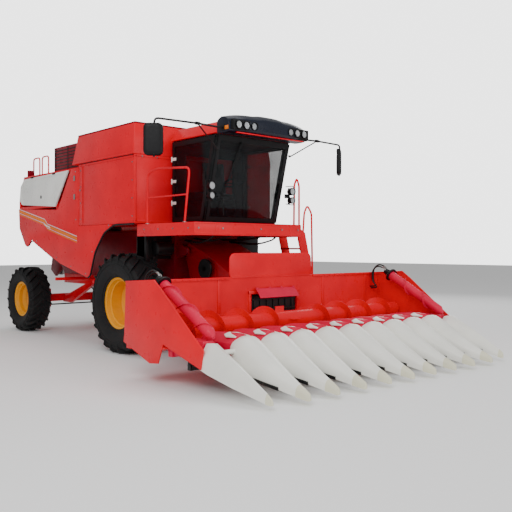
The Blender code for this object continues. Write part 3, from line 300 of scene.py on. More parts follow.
def tinted_glass(name, tint, alpha, roughness=0.04):
    finish = Finish(name, tint, roughness, specular_ior_level=0.3)
    smear = finish.between(finish.noise(3.0, detail=4.0), 0.35, 0.75, alpha * 0.92,
            min(1.0, alpha * 1.12))
    finish.connect("Alpha", smear)
    finish.bump(finish.noise(1.2, detail=1.0), 0.02)
    return finish.material


def brushed(name, colour, roughness):
    finish = Finish(name, colour, roughness, metallic=1.0)
    lines = finish.noise(60.0, detail=3.0, stretch=(1.0, 12.0, 12.0))
    finish.connect("Roughness", finish.between(lines, 0.3, 0.7, roughness * 0.7, roughness * 1.3))
    finish.bump(lines, 0.05)
    return finish.material


def cloth_cover():
    finish = Finish("seat_cloth", (0.030, 0.031, 0.036), 0.9, sheen_weight=0.3)
    weave = finish.node("ShaderNodeTexWave", {"wave_type": "BANDS", "bands_direction": "DIAGONAL"},
                        {"Vector": finish.place, "Scale": 120.0, "Distortion": 1.5}, 1)
    finish.connect("Base Color",
            finish.mix(finish.between(weave, 0.2, 0.8), (0.02, 0.02, 0.024), (0.055, 0.055, 0.06)))
    finish.bump(weave, 0.3)
    return finish.material


white = moulded("off_white_plastic", (0.94, 0.93, 0.86), 0.34, coat_weight=0.1)
panel_white = moulded("panel_white", (0.94, 0.94, 0.90), 0.30, coat_weight=0.2)
navy = moulded("navy_plastic", (0.005, 0.008, 0.020), 0.30, coat_weight=0.08,
        specular_ior_level=0.3)
black_plastic = moulded("black_plastic", (0.006, 0.006, 0.007), 0.5, depth=0.15,
        specular_ior_level=0.25)
hose_rubber = moulded("hose_rubber", (0.012, 0.012, 0.012), 0.6)
tyre_black = rubber()
cab_glass = tinted_glass("cab_glass", (0.004, 0.006, 0.008), 0.46)
lamp_glass = tinted_glass("lamp_glass", (0.75, 0.78, 0.80), 0.45)
amber = tinted_glass("amber_lens", (0.95, 0.22, 0.01), 0.9, 0.15)
steel = brushed("bare_steel", (0.34, 0.33, 0.32), 0.42)
chrome = brushed("reflector", (0.85, 0.85, 0.86), 0.12)
seat_cloth = cloth_cover()
print("plastics, rubber, glass, steel and cloth ready")

# %% [markdown]
# ## Paint the frame's own parts
# Each frame part that keeps its shape takes the finish of its material slot. The rest are hidden
# later, where a modelled piece stands for them.

# %% Finishes by slot
BY_SLOT = {"red_paint": red, "maroon_paint": dark_red, "black_paint": black, "navy_plastic": navy,
           "white_panel": panel_white, "rim_yellow": yellow, "tyre_rubber": tyre_black,
           "cab_glass": cab_glass, "grey_steel": steel, "seat_fabric": seat_cloth}
for part in frame["record"]["subparts"]:
    mesh = nodes[part["node"]].data
    mesh.materials.clear()
    mesh.materials.append(BY_SLOT[part["material_slot"]])

# %% [markdown]
# ## Tools for sheet metal, tubes and turned parts
# Lengths along the machine are given from the front axle, whose place is read from the frame.
# `piece` closes a mesh, rounds its sharp edges with a real bevel, and hangs it on its body. A
# bevel matters more than any texture: a folded or cut sheet edge always catches a line of light.

# %% Mesh tools
AXLE = (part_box("front_left_tyre")[0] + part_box("front_right_tyre")[1]) / 2
BODY_OF = {node: body for body,
        members in frame["record"]["behaviour"]["bodies"].items() for node in members}


def piece(name, bm, finish, body, bevel=0.0, segments=2, smooth=32.0, replaces=(),
        shift=True):
    if shift:
        bmesh.ops.translate(bm, verts=bm.verts, vec=(0.0, AXLE.y, 0.0))
    bmesh.ops.recalc_face_normals(bm, faces=bm.faces)
    if bevel:
        sharp = [e for e in bm.edges
                 if len(e.link_faces) == 2 and e.calc_face_angle() > radians(25)]
        bmesh.ops.bevel(bm, geom=sharp, offset=bevel, offset_type="OFFSET", segments=segments,
                profile=0.5,
                        affect="EDGES", material=-1, clamp_overlap=True)
    mesh = bpy.data.meshes.new(name)
    bm.to_mesh(mesh)
    bm.free()
    mesh.materials.append(finish)
    mesh.shade_smooth()
    mesh.set_sharp_from_angle(angle=radians(smooth))
    obj = bpy.data.objects.new(name, mesh)
    bpy.context.scene.collection.objects.link(obj)
    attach(obj, body)
    if replaces:
        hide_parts(*replaces)
    return obj


def softened(node, finish, width=0.005):
    bm = bmesh.new()
    bm.from_mesh(nodes[node].data)
    bmesh.ops.remove_doubles(bm, verts=bm.verts, dist=1e-5)
    bmesh.ops.dissolve_limit(bm, angle_limit=radians(1.0), verts=bm.verts, edges=bm.edges)
    return piece(node + "_skin", bm, finish, BODY_OF[node], bevel=width,
            replaces=[node], shift=False)


def block(bm, low, high):
    low, high = Vector(low), Vector(high)
    made = bmesh.ops.create_cube(bm, size=1.0)["verts"]
    for vert in made:
        vert.co = low + (vert.co + Vector((0.5, 0.5, 0.5))) * (high - low)
    return made


def prism(bm, outline, plane, start, end):
    seat = {"YZ": lambda a, b, c: (c, a, b), "XZ": lambda a, b, c: (a, c, b), "XY": lambda a, b,
            c: (a, b, c)}[plane]
    face = bm.faces.new([bm.verts.new(seat(a, b, start)) for a, b in outline])
    grown = bmesh.ops.extrude_face_region(bm, geom=[face])["geom"]
    lifted = [v for v in grown if isinstance(v, bmesh.types.BMVert)]
    bmesh.ops.translate(bm, verts=lifted, vec=Vector(seat(0.0, 0.0, end - start)))


def rounded(low, high, radius, steps=4):
    corners = [((high[0] - radius, high[1] - radius), 0), ((low[0] + radius, high[1] - radius), 90),
               ((low[0] + radius, low[1] + radius), 180),
                       ((high[0] - radius, low[1] + radius), 270)]
    return [(cx + radius * cos(radians(start + 90 * i / steps)),
            cy + radius * sin(radians(start + 90 * i / steps)))
            for (cx, cy), start in corners for i in range(steps + 1)]


def turned(bm, profile, centre, axis="X", steps=32):
    """Spin a closed or axis-to-axis profile of (along, radius) about an axis through centre."""
    frames = {"X": (Vector((1, 0, 0)), Vector((0, 1, 0))),
            "Y": (Vector((0, 1, 0)), Vector((1, 0, 0))),
              "Z": (Vector((0, 0, 1)), Vector((1, 0, 0)))}
    along, out = frames[axis] if isinstance(axis, str) else (axis, axis.orthogonal().normalized())
    verts = [bm.verts.new(Vector(centre) + along * a + out * r) for a, r in profile]
    edges = [bm.edges.new(pair) for pair in zip(verts, verts[1:] + verts[:1])
             if profile[verts.index(pair[0])][1] > 1e-6 or profile[verts.index(pair[1])][1] > 1e-6]
    bmesh.ops.spin(bm, geom=verts + edges, cent=centre, axis=along, angle=2 * pi, steps=steps,
            use_merge=True,
                   use_duplicate=False)
    bmesh.ops.remove_doubles(bm, verts=bm.verts, dist=1e-5)


def bent(points, radius, steps=5):
    points = [Vector(p) for p in points]
    line = [points[0]]
    for before, corner, after in zip(points, points[1:], points[2:]):
        back, on = (before - corner), (after - corner)
        reach = min(radius, back.length / 2.01, on.length / 2.01)
        first, last = corner + back.normalized() * reach, corner + on.normalized() * reach
        for i in range(steps + 1):
            t = i / steps
            line.append(first * (1 - t) ** 2 + corner * 2 * t * (1 - t) + last * t * t)
    return line + [points[-1]]


def tube(bm, points, radius, sides=10, closed=False):
    points = [Vector(p) for p in points]
    count = len(points)
    rings, side = [], None
    for i, point in enumerate(points):
        before = points[i - 1] if i or closed else point
        after = points[(i + 1) % count] if i < count - 1 or closed else point
        along = (after - before).normalized()
        side = along.orthogonal() if side is None else side - along * side.dot(along)
        side.normalize()
        other = along.cross(side)
        angles = [2 * pi * k / sides for k in range(sides)]
        rings.append([bm.verts.new(point + (side * cos(a) + other * sin(a)) * radius) for a in angles])
    pairs = list(zip(rings, rings[1:])) + ([(rings[-1], rings[0])] if closed else [])
    for first, second in pairs:
        for k in range(sides):
            bm.faces.new((first[k], first[(k + 1) % sides], second[(k + 1) % sides], second[k]))
    if not closed:
        bm.faces.new(rings[0])
        bm.faces.new(list(reversed(rings[-1])))


def bolts(bm, places, normal, radius=0.011, height=0.008):
    turn = Vector(normal).to_track_quat("Z", "Y").to_matrix().to_4x4()
    for place in places:
        seat = Matrix.Translation(Vector(place)) @ turn
        bmesh.ops.create_cone(bm, segments=14, radius1=radius * 1.55, radius2=radius * 1.45,
                depth=0.004, cap_ends=True,
                              matrix=seat)
        bmesh.ops.create_cone(bm, segments=6, radius1=radius, radius2=radius * 0.92, depth=height,
                cap_ends=True,
                              matrix=seat @ Matrix.Translation((0, 0, height / 2 + 0.002)))


print("front axle at y =", round(AXLE.y, 3))

# %% [markdown]
# ## Wheels
# A farm tyre is a smooth carcass with two rows of bars that lean away from the middle of the
# tread and run down over the shoulder. Each bar is lofted along the tread's own curve, so its
# foot stays in the rubber, and the two rows are half a step apart as on a real tyre.

# %% Tyres
LUG_HEIGHT = 0.042


def tyre(node, lug_count, lean):
    low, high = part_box(node)
    centre, radius, half = (low + high) / 2, (high.z - low.z) / 2, (high.x - low.x) / 2
    bead = radius * (0.518 if radius > 0.8 else 0.537)
    crown = radius - LUG_HEIGHT
    bm = bmesh.new()
    half_profile = [(0.0, crown), (half * 0.45, crown - 0.004), (half * 0.78, crown - 0.014),
            (half * 0.92, crown - 0.045),
                    (half * 0.975, crown - 0.11), (half * 0.99, (crown + bead) / 2),
                            (half * 0.94, bead + 0.09),
                    (half * 0.84, bead + 0.035), (half * 0.80, bead + 0.03),
                            (half * 0.76, bead + 0.004),
                    (half * 0.70, bead)]
    outline = [(-a, r) for a, r in reversed(half_profile[1:])] + half_profile
    turned(bm, outline, centre, steps=72)
    path = [(0.00, crown - 0.01, radius), (0.30, crown - 0.012, radius - 0.001),
            (0.60, crown - 0.016, radius - 0.003),
            (0.84, crown - 0.03, radius - 0.010), (0.955, crown - 0.07, radius - 0.040),
            (0.985, crown - 0.12, radius - 0.11), (0.975, crown - 0.165, radius - 0.17)]
    for side in (-1, 1):
        for k in range(lug_count):
            start = 2 * pi * (k + (0.5 if side > 0 else 0.0)) / lug_count
            rings = []
            for step, (share, foot, top) in enumerate(path):
                t = step / (len(path) - 1)
                angle = start + lean * min(share + 0.02 * step, 1.0) ** 0.9
                x = side * (0.012 + (half - 0.012) * share)
                out = side * half * 0.006 * (step > 3)
                ring = []
                for r, width, dx in ((foot, 0.052, 0.0), (top, 0.034, out), (top, -0.034, out),
                        (foot, -0.052, 0.0)):
                    a = angle + width * (1 - 0.25 * t) / (2 * radius)
                    ring.append(bm.verts.new(centre + Vector((x + dx, r * cos(a), r * sin(a)))))
                rings.append(ring)
            for first, second in zip(rings, rings[1:]):
                for i in range(4):
                    bm.faces.new((first[i], first[(i + 1) % 4], second[(i + 1) % 4], second[i]))
            bm.faces.new(rings[0])
            bm.faces.new(list(reversed(rings[-1])))
    for side in (-1, 1):     # rings moulded into the side wall
        for share, out in ((0.62, 0.006), (0.80, 0.005)):
            r = bead + (crown - bead) * share
            x = side * half * (0.985 if share < 0.7 else 0.975)
            ring = [centre + Vector((x, r * cos(2 * pi * i / 72),
                    r * sin(2 * pi * i / 72))) for i in range(72)]
            tube(bm, ring, out, sides=6, closed=True)
    return piece(node + "_treaded", bm, tyre_black, BODY_OF[node], smooth=30,
            replaces=[node], shift=False)


for node, count, lean in (("front_right_tyre", 22, 0.30), ("front_left_tyre", 22, 0.30),
        ("rear_right_tyre", 20, 0.28),
                          ("rear_left_tyre", 20, 0.28)):
    made = tyre(node, count, lean)
    print(made.name, len(made.data.polygons), "faces")

# %% [markdown]
# The rims are pressed steel: a rolled flange at the bead, a stepped well, and a dished disc with
# a ring of pressings, bolted to the hub. Depth sells a wheel, so the disc sits well inside.

# %% Rims and hubs
def rim(node, tyre_node, side, hub_depth, stud_count):
    low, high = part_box(node)
    centre = (low + high) / 2
    tyre_low, tyre_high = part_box(tyre_node)
    middle = (tyre_low + tyre_high) / 2
    edge = (high.z - low.z) / 2
    half = (tyre_high.x - tyre_low.x) / 2 * 0.71
    inner = hub_depth - abs(middle.x)
    bm = bmesh.new()
    well = edge - 0.045
    profile = [(inner, 0.0), (inner, 0.165), (inner + 0.018, 0.18), (inner + 0.03, 0.235),
            (inner + 0.075, 0.265),
               (inner + 0.078, well - 0.07), (inner + 0.11, well - 0.028),
                       (inner + 0.115, well - 0.012), (-half * 0.90, well - 0.012),
               (-half * 0.94, edge - 0.012), (-half, edge - 0.006), (-half, edge),
                       (-half * 0.97, edge),
               (-half * 0.5, well), (half * 0.55, well), (half * 0.93, edge), (half, edge),
                       (half * 1.01, edge - 0.004),
               (half * 1.01, edge - 0.014), (half * 0.96, edge - 0.016),
                       (half * 0.92, edge - 0.034),
               (half * 0.62, well - 0.008), (half * 0.56, well - 0.024), (half * 0.1, well - 0.026),
               (inner + 0.15, well - 0.030), (inner + 0.135, well - 0.045),
                       (inner + 0.100, well - 0.082),
               (inner + 0.098, 0.262), (inner + 0.055, 0.232), (inner + 0.050, 0.0)]
    turned(bm, [(side * a, r) for a, r in profile], middle, steps=64)
    face = middle.x + side * (inner + 0.052)
    made = piece(node + "_pressed", bm, yellow, BODY_OF[node], smooth=28,
            replaces=[node], shift=False)
    bm = bmesh.new()
    ring = [(face, middle.y + 0.135 * cos(2 * pi * i / stud_count),
            middle.z + 0.135 * sin(2 * pi * i / stud_count))
            for i in range(stud_count)]
    bolts(bm, ring, (side, 0, 0), 0.016, 0.022)
    hub = [(0.0, 0.0), (0.0, 0.102), (0.035, 0.100), (0.045, 0.092), (0.060, 0.080), (0.062, 0.055),
            (0.080, 0.050),
           (0.084, 0.0)]
    turned(bm, [(side * a, r) for a, r in hub], Vector((face, middle.y, middle.z)), steps=32)
    piece(node + "_hub", bm, dark_red, BODY_OF[node], smooth=35, shift=False)
    bm = bmesh.new()
    angle = radians(200)
    start = Vector((middle.x + side * (inner + 0.14), middle.y + (well - 0.035) * cos(angle),
            middle.z + (well - 0.035) * sin(angle)))
    tube(bm, [start, start + Vector((side * 0.03, 0.006, 0.004)),
            start + Vector((side * 0.055, 0.02, 0.01))], 0.006, sides=8)
    piece(node + "_valve", bm, black_plastic, BODY_OF[node], shift=False)
    return made


for word, side in (("right", -1), ("left", 1)):
    print(rim("front_%s_rim" % word, "front_%s_tyre" % word, side, 1.1597, 12).name)
    print(rim("rear_%s_rim" % word, "rear_%s_tyre" % word, side, 1.1997, 8).name)

# %% [markdown]
# ## The header
# The header is a wide trough: a back wall with a folded top edge, a cross auger in front of it,
# deck plates between ten rows, and pointed covers that part the rows. The frame's walls keep
# their shape and only get rounded edges; the fasteners, folds and flighting are added.

# %% Header walls
softened("header_frame", red, 0.004)
bm = bmesh.new()
back, half = -2.15, 2.69
block(bm, (-half + 0.03, back - 0.020, 1.305), (-0.96, back - 0.0004, 1.345))
block(bm, (0.90, back - 0.020, 1.305), (half - 0.03, back - 0.0004, 1.345))
block(bm, (-half + 0.03, back - 0.012, 0.755), (-0.56, back - 0.0004, 0.79))
block(bm, (0.56, back - 0.012, 0.755), (half - 0.03, back - 0.0004, 0.79))
for x in (-2.30, -1.15, 1.15, 2.30):
    block(bm, (x - 0.03, back - 0.010, 0.80), (x + 0.03, back - 0.0004, 1.30))
prism(bm, [(-0.905, 1.325), (0.845, 1.325), (0.845, 1.345), (-0.905, 1.345)], "XZ", back - 0.010,
        back + 0.006)
for low_x, high_x in ((-0.56, -0.505), (0.505, 0.56)):
    block(bm, (low_x, back - 0.014, 0.66), (high_x, back - 0.0004, 1.12))
block(bm, (-0.56, back - 0.016, 1.065), (0.56, back - 0.0004, 1.11))
for side in (-1, 1):          # rolled flange round the end sheets, and doubler plates
    x = side * (half - 0.012)
    edge = [(-2.00, 1.325), (-2.70, 1.365), (-2.855, 1.255), (-3.735, 0.565), (-3.685, 0.345),
            (-2.91, 0.562)]
    tube(bm, [(x, y, z) for y, z in edge], 0.011, sides=8)
    inner = side * (half - 0.0155)
    prism(bm, [(-2.10, 0.62), (-2.10, 1.26), (-2.62, 1.30), (-2.80, 1.19), (-2.86, 0.62)], "YZ",
            inner - side * 0.006, inner)
piece("header_folds", bm, red, "header", bevel=0.003)

bm = bmesh.new()
tops = [(-2.62 + 0.131 * i, back - 0.0205, 1.325) for i in range(13)] + [(1.05 + 0.131 * i,
        back - 0.0205, 1.325) for i in range(13)]
bolts(bm, tops, (0, -1, 0), 0.009)
bolts(bm, [(-2.55 + 0.232 * i, back - 0.0125, 0.772) for i in range(9)], (0, -1, 0), 0.009)
bolts(bm, [(0.68 + 0.232 * i, back - 0.0125, 0.772) for i in range(9)], (0, -1, 0), 0.009)
bolts(bm, [(x, back - 0.0145, z) for x in (-0.53, 0.53) for z in (0.70, 0.82, 0.94, 1.04)],
        (0, -1, 0), 0.010)
for side in (-1, 1):
    x = side * (half - 0.0045)
    spots = [(x, y, z) for y, z in ((-2.08, 1.26), (-2.36, 1.28), (-2.64, 1.30), (-2.12, 0.62),
            (-2.12, 0.94), (-2.46, 0.42),
                                    (-2.70, 0.40), (-2.82, 0.92), (-3.05, 0.66), (-3.35, 0.56),
                                            (-3.60, 0.46), (-2.60, 0.70))]
    bolts(bm, spots, (side, 0, 0), 0.011, 0.003)
piece("header_bolts", bm, red, "header")

bm = bmesh.new()
prism(bm, [(-2.17, 1.15), (-2.185, 1.15), (-2.235, 1.10), (-2.30, 1.01), (-2.29, 1.00),
        (-2.222, 1.095)], "YZ", -0.43, 0.43)
for x in (-0.40, -0.13, 0.13, 0.40):
    block(bm, (x - 0.018, -2.20, 1.125), (x + 0.018, -2.166, 1.165))
piece("deflector_flap", bm, rose_red, "header", bevel=0.004)

bm = bmesh.new()
# A black plate just behind the opening in the back wall: painted shade for the dark inside of the
# feeder throat.
block(bm, (-0.495, back + 0.02, 0.725), (0.495, back + 0.045, 1.055))
piece("feeder_throat_shade_plate", bm, black, "header")
bm = bmesh.new()
for i in range(7):
    x = -0.42 + 0.14 * i
    block(bm, (x - 0.02, back + 0.004, 0.74), (x + 0.02, back + 0.02, 1.04))
for z in (0.80, 0.96):
    block(bm, (-0.48, back - 0.006, z), (0.48, back + 0.012, z + 0.022))
piece("feeder_slats", bm, black, "header", bevel=0.003)
print("header walls dressed")

# %% [markdown]
# An auger's flighting is a thin strip wound on edge. It is made as its own solid, ring by ring,
# with the pitch of a real one, and stops short of the middle, where paddles take over.

# %% Augers
def flighting(bm, origin, along, start, end, turns, inner, outer, phase=0.0, thick=0.008, steps=30):
    along = Vector(along).normalized()
    side = along.orthogonal().normalized()
    other = along.cross(side)
    count = int(abs(turns) * steps)
    rings = []
    for i in range(count + 1):
        share = i / count
        angle = phase + 2 * pi * turns * share
        out = side * cos(angle) + other * sin(angle)
        seat = Vector(origin) + along * (start + (end - start) * share)
        taper = min(1.0, share * count / 8 + 0.25, (1 - share) * count / 8 + 0.25)
        reach = inner + (outer - inner) * taper
        rings.append([bm.verts.new(seat + along * a + out * r)
                      for a, r in ((-thick / 2, inner), (thick / 2, inner), (thick / 2, reach),
                              (-thick / 2, reach))])
    for first, second in zip(rings, rings[1:]):
        for k in range(4):
            bm.faces.new((first[k], first[(k + 1) % 4], second[(k + 1) % 4], second[k]))
    bm.faces.new(rings[0])
    bm.faces.new(list(reversed(rings[-1])))


bm = bmesh.new()
auger_at, reach = Vector((0.0, -2.58, 0.70)), 2.585
turned(bm, [(-reach, 0.0), (-reach, 0.108), (-reach + 0.006, 0.115), (-0.45, 0.115),
        (-0.448, 0.119), (0.448, 0.119),
            (0.45, 0.115), (reach - 0.006, 0.115), (reach, 0.108), (reach, 0.0)], auger_at,
                    steps=40)
for side in (-1, 1):
    tube(bm, [(side * (reach - 0.01), -2.58, 0.70), (side * 2.6745, -2.58, 0.70)], 0.04, sides=16)
    flighting(bm, auger_at, (side, 0, 0), 0.42, reach - 0.03, 4.0, 0.110, 0.215, thick=0.007)
for i in range(4):
    x, angle = -0.30 + 0.20 * i, pi / 2 * i
    plate = block(bm, (x - 0.09, -0.006, 0.112), (x + 0.09, 0.006, 0.195))
    bmesh.ops.rotate(bm, verts=plate, cent=(0, 0, 0), matrix=Matrix.Rotation(angle, 3, "X"))
    bmesh.ops.translate(bm, verts=plate, vec=(0, auger_at.y, auger_at.z))
piece("cross_auger_flighted", bm, red, "cross_auger", smooth=28,
        replaces=["cross_auger"])

for side, word in ((-1, "right"), (1, "left")):
    top, foot = Vector((side * 2.47, -2.62, 1.30)), Vector((side * 2.47, -3.60, 0.74))
    along, length = (top - foot).normalized(), (top - foot).length
    bm = bmesh.new()
    turned(bm, [(-0.08, 0.0), (-0.08, 0.022), (-0.06, 0.034), (0.0, 0.072), (0.01, 0.075),
            (length - 0.004, 0.075),
                (length, 0.070), (length, 0.0)], foot, along, steps=28)
    flighting(bm, foot, along, 0.03, length - 0.03, 2.5 * side, 0.070, 0.105, thick=0.008)
    piece("end_auger_%s_flighted" % word, bm, rose_red, "end_auger_%s" % word,
            smooth=30,
          replaces=["end_auger_%s" % word])
    start = top + along * 0.0004
    bm = bmesh.new()
    turned(bm, [(0.0, 0.0), (0.0, 0.112), (0.004, 0.115), (0.022, 0.115), (0.026, 0.110),
            (0.027, 0.062), (0.05, 0.058),
                (0.055, 0.052), (0.085, 0.052), (0.088, 0.056), (0.100, 0.056), (0.103, 0.052),
                        (0.150, 0.050), (0.158, 0.040),
                (0.160, 0.0)], start, along, steps=32)
    block(bm, (side * 2.47 if side > 0 else -2.6745, top.y + 0.03, top.z + 0.005),
            (2.6745 if side > 0 else -2.47, top.y + 0.11, top.z + 0.045))
    made = piece("end_motor_%s" % word, bm, black, "header", bevel=0.0, smooth=30,
                 replaces=["end_auger_motor_%s" % word])
    bm = bmesh.new()
    out = along.orthogonal().normalized()
    ring = [start + along * 0.027 + Matrix.Rotation(2 * pi * i / 8, 3,
            along) @ out * 0.092 for i in range(8)]
    bolts(bm, ring, along, 0.009, 0.008)
    elbow = start + along * 0.12
    tube(bm, bent([elbow, elbow + Vector((0, 0.02, 0.085)), elbow + Vector((0, 0.075, 0.10))],
            0.03), 0.015, sides=12)
    tube(bm, bent([elbow + Vector((-side * 0.035, 0, 0)),
            elbow + Vector((-side * 0.035, 0.02, 0.065)),
                   elbow + Vector((-side * 0.035, 0.07, 0.075))], 0.03), 0.013, sides=12)
    piece("end_fittings_%s" % word, bm, steel, "header")
    bm = bmesh.new()
    for shift_x, rise, drop in ((0.0, 0.115, 0.30), (-side * 0.035, 0.085, 0.24)):
        begin = elbow + Vector((shift_x, 0.06, rise - 0.012))
        route = [begin, begin + Vector((0, 0.12, 0.03)), begin + Vector((side * 0.02, 0.25, -0.05)),
                 begin + Vector((side * 0.03, 0.27, -drop)),
                         Vector((begin.x + side * 0.02, -2.30, begin.z - drop - 0.10)),
                 Vector((begin.x + side * 0.02, -2.152, begin.z - drop - 0.11))]
        tube(bm, bent(route, 0.10, steps=7), 0.0125, sides=12)
    piece("end_hoses_%s" % word, bm, hose_rubber, "header")
print("augers wound")

# %% [markdown]
# The pointed covers are thin moulded shells: a broad hump behind, a long falling nose, a flat
# skirt along the foot, and a worn yellowish tip. Behind each hump a red ridge runs back to the
# auger with two flat facets and a steep side.

# %% Pointed covers
def shell(bm, x, sections, sides=22, skirt=0.05, power=0.82):
    rings = []
    for y, half, foot, crest in sections:
        ring = [bm.verts.new((x - half * 0.96, y, foot))]
        for i in range(sides + 1):
            a = pi - pi * i / sides
            rise = abs(sin(a)) ** power
            ring.append(bm.verts.new((x + half * cos(a), y,
                    foot + skirt * min(1.0, half * 6) + (crest - foot - skirt * min(1.0,
                    half * 6)) * rise)))
        ring.append(bm.verts.new((x + half * 0.96, y, foot)))
        rings.append(ring)
    count = len(rings[0])
    for first, second in zip(rings, rings[1:]):
        for k in range(count):
            bm.faces.new((first[k], first[(k + 1) % count], second[(k + 1) % count], second[k]))
    bm.faces.new(rings[0])
    bm.faces.new(list(reversed(rings[-1])))


NOSE = [(-3.6607, 0.205, 0.47, 0.665), (-3.70, 0.222, 0.42, 0.69), (-3.76, 0.232, 0.35, 0.70),
        (-3.82, 0.234, 0.30, 0.695),
        (-3.92, 0.226, 0.27, 0.645), (-4.10, 0.200, 0.22, 0.530), (-4.30, 0.160, 0.175, 0.405),
                (-4.50, 0.112, 0.125, 0.295),
        (-4.66, 0.072, 0.09, 0.215)]
TIP = [(-4.655, 0.0745, 0.088, 0.2185), (-4.72, 0.058, 0.075, 0.19), (-4.78, 0.042, 0.062, 0.158),
        (-4.81, 0.030, 0.055, 0.140),
       (-4.82, 0.015, 0.058, 0.115)]
row_middles = [(i - 4) * 0.5 for i in range(9)]
noses, tips = bmesh.new(), bmesh.new()
for x in row_middles:
    shell(noses, x, NOSE)
    shell(tips, x, TIP)
for side in (-1, 1):          # faceted end dividers with a sharp top edge
    for bm, sections in ((noses,
            [(-3.6607, 0.17, 0.33, 0.64), (-3.80, 0.17, 0.29, 0.655), (-4.20, 0.13, 0.19, 0.45),
                                  (-4.66, 0.040, 0.075, 0.185)]),
                         (tips, [(-4.655, 0.043, 0.072, 0.19), (-4.72, 0.024, 0.06, 0.14)])):
        rings = []
        for y, half_w, foot, crest in sections:
            x = side * 2.50
            rings.append([bm.verts.new((x + side * half_w * a, y, foot + (crest - foot) * b)) for a,
                    b in
                          ((1.0, 0.0), (1.0, 0.52), (0.42, 1.0), (0.10, 0.98), (-0.75, 0.55),
                                  (-1.0, 0.10), (-1.0, 0.0))])
        for first, second in zip(rings, rings[1:]):
            for k in range(7):
                bm.faces.new((first[k], first[(k + 1) % 7], second[(k + 1) % 7], second[k]))
        bm.faces.new(rings[0])
        bm.faces.new(list(reversed(rings[-1])))
tube(noses, [(-2.55, -3.74, 0.52), (2.55, -3.74, 0.52)], 0.03, sides=12)
piece("pointed_covers", noses, white, "header", smooth=40, replaces=["snouts"])
worn_tip = moulded("worn_tip", (0.80, 0.77, 0.58), 0.45)
piece("cover_tips", tips, worn_tip, "header", smooth=45)

bm = bmesh.new()
for x in row_middles:
    turned(bm, [(0.0, 0.0), (0.0, 0.018), (0.004, 0.018), (0.006, 0.014), (0.006, 0.0)],
            Vector((x + 0.02, -3.80, 0.694)), "Z", steps=16)
piece("cover_studs", bm, amber, "header")
print(len(row_middles), "covers and two dividers")

# %% Ridges, deck plates and gathering chains
ridges, inserts, dark = bmesh.new(), bmesh.new(), bmesh.new()
block(ridges, (-2.62, -3.02, 0.40), (2.62, -2.925, 0.4995))
for x in row_middles:
    outline = [(x - 0.19, 0.45), (x - 0.178, 0.60), (x - 0.075, 0.705), (x - 0.02, 0.72),
            (x + 0.05, 0.70), (x + 0.155, 0.63),
               (x + 0.19, 0.45)]
    rings = []
    for y, squeeze, drop in ((-2.95, 0.80, 0.055), (-3.10, 0.86, 0.028), (-3.35, 0.95, 0.008),
            (-3.66, 1.0, 0.0)):
        rings.append([ridges.verts.new((x + (a - x) * squeeze, y,
                max(0.45, b - drop * (b > 0.5)))) for a, b in outline])
    for first, second in zip(rings, rings[1:]):
        for k in range(7):
            ridges.faces.new((first[k], first[(k + 1) % 7], second[(k + 1) % 7], second[k]))
    ridges.faces.new(rings[0])
    ridges.faces.new(list(reversed(rings[-1])))
    crescent = [(x - 0.13, -3.655), (x + 0.15, -3.655), (x + 0.135, -3.60), (x + 0.06, -3.50),
            (x - 0.04, -3.44), (x - 0.11, -3.43),
                (x - 0.145, -3.50)]
    low = [inserts.verts.new((a, b, 0.63 + 0.078 * (1 - min(1.0, abs(a - x) / 0.20) ** 1.6))) for a,
            b in crescent]
    high = [inserts.verts.new(v.co + Vector((0, 0, 0.016))) for v in low]
    for k in range(7):
        inserts.faces.new((low[k], low[(k + 1) % 7], high[(k + 1) % 7], high[k]))
    inserts.faces.new(low)
    inserts.faces.new(list(reversed(high)))
for side in (-1, 1):
    rows = [(side * 2.32, 0.42), (side * 2.36, 0.58), (side * 2.44, 0.66), (side * 2.60, 0.66),
            (side * 2.60, 0.42)]
    prism(ridges, rows, "XZ", -3.62, -2.95)
piece("row_ridges", ridges, rose_red, "header", bevel=0.006, replaces=["row_units"])
piece("ridge_inserts", inserts, white, "header", bevel=0.002)
for i in range(10):
    x = (i - 4.5) * 0.5
    for side in (-1, 1):
        block(dark, (x + side * 0.10 - 0.035, -3.655, 0.34), (x + side * 0.10 + 0.035, -2.96, 0.46))
        lane = x + side * 0.062
        for k in range(15):     # chain fingers reaching over the stalk slot
            y = -2.99 - 0.045 * k
            prism(dark, [(lane, y), (lane - side * 0.034, y - 0.008),
                    (lane - side * 0.034, y - 0.016), (lane, y - 0.026)],
                  "XY", 0.462, 0.474)
        block(dark, (min(lane, lane + side * 0.026), -3.65, 0.461),
                (max(lane, lane + side * 0.026), -2.965, 0.478))
for x in row_middles + [-2.5, 2.5]:
    for side in (-1, 1):
        if abs(x) == 2.5 and side * x > 0:
            continue
        for k in range(24):     # saw-tooth strip low along the cover's side
            y = -3.90 - 0.0225 * k
            t = (y + 3.82) / -0.84
            wide = (0.234 if abs(x) < 2.4 else 0.165) * (1 - t ** 1.25) + 0.066 * t ** 1.25 + 0.004
            foot = 0.262 - 0.16 * t
            prism(dark, [(y, foot - 0.012), (y - 0.022, foot - 0.014), (y - 0.017, foot + 0.028),
                    (y - 0.004, foot + 0.028)],
                  "YZ", x + side * wide, x + side * (wide + 0.016))
block(dark, (-2.62, -3.40, 0.28), (2.62, -3.34, 0.35))
for side in (-1, 1):
    low_x, high_x = sorted((side * 2.45, side * 2.60))
    block(dark, (low_x, -3.42, 0.30), (high_x, -3.32, 0.43))
piece("gathering_chains", dark, black, "header")
print("row units done")

# %% [markdown]
# ## The cab
# The cab is a dark frame with leaning glass, under a red roof with a deep curved visor that
# carries six work lamps. The glass keeps the frame's own panes; what makes it read as glass is
# the black band printed round its edge, the hinges and the wiper standing off it.

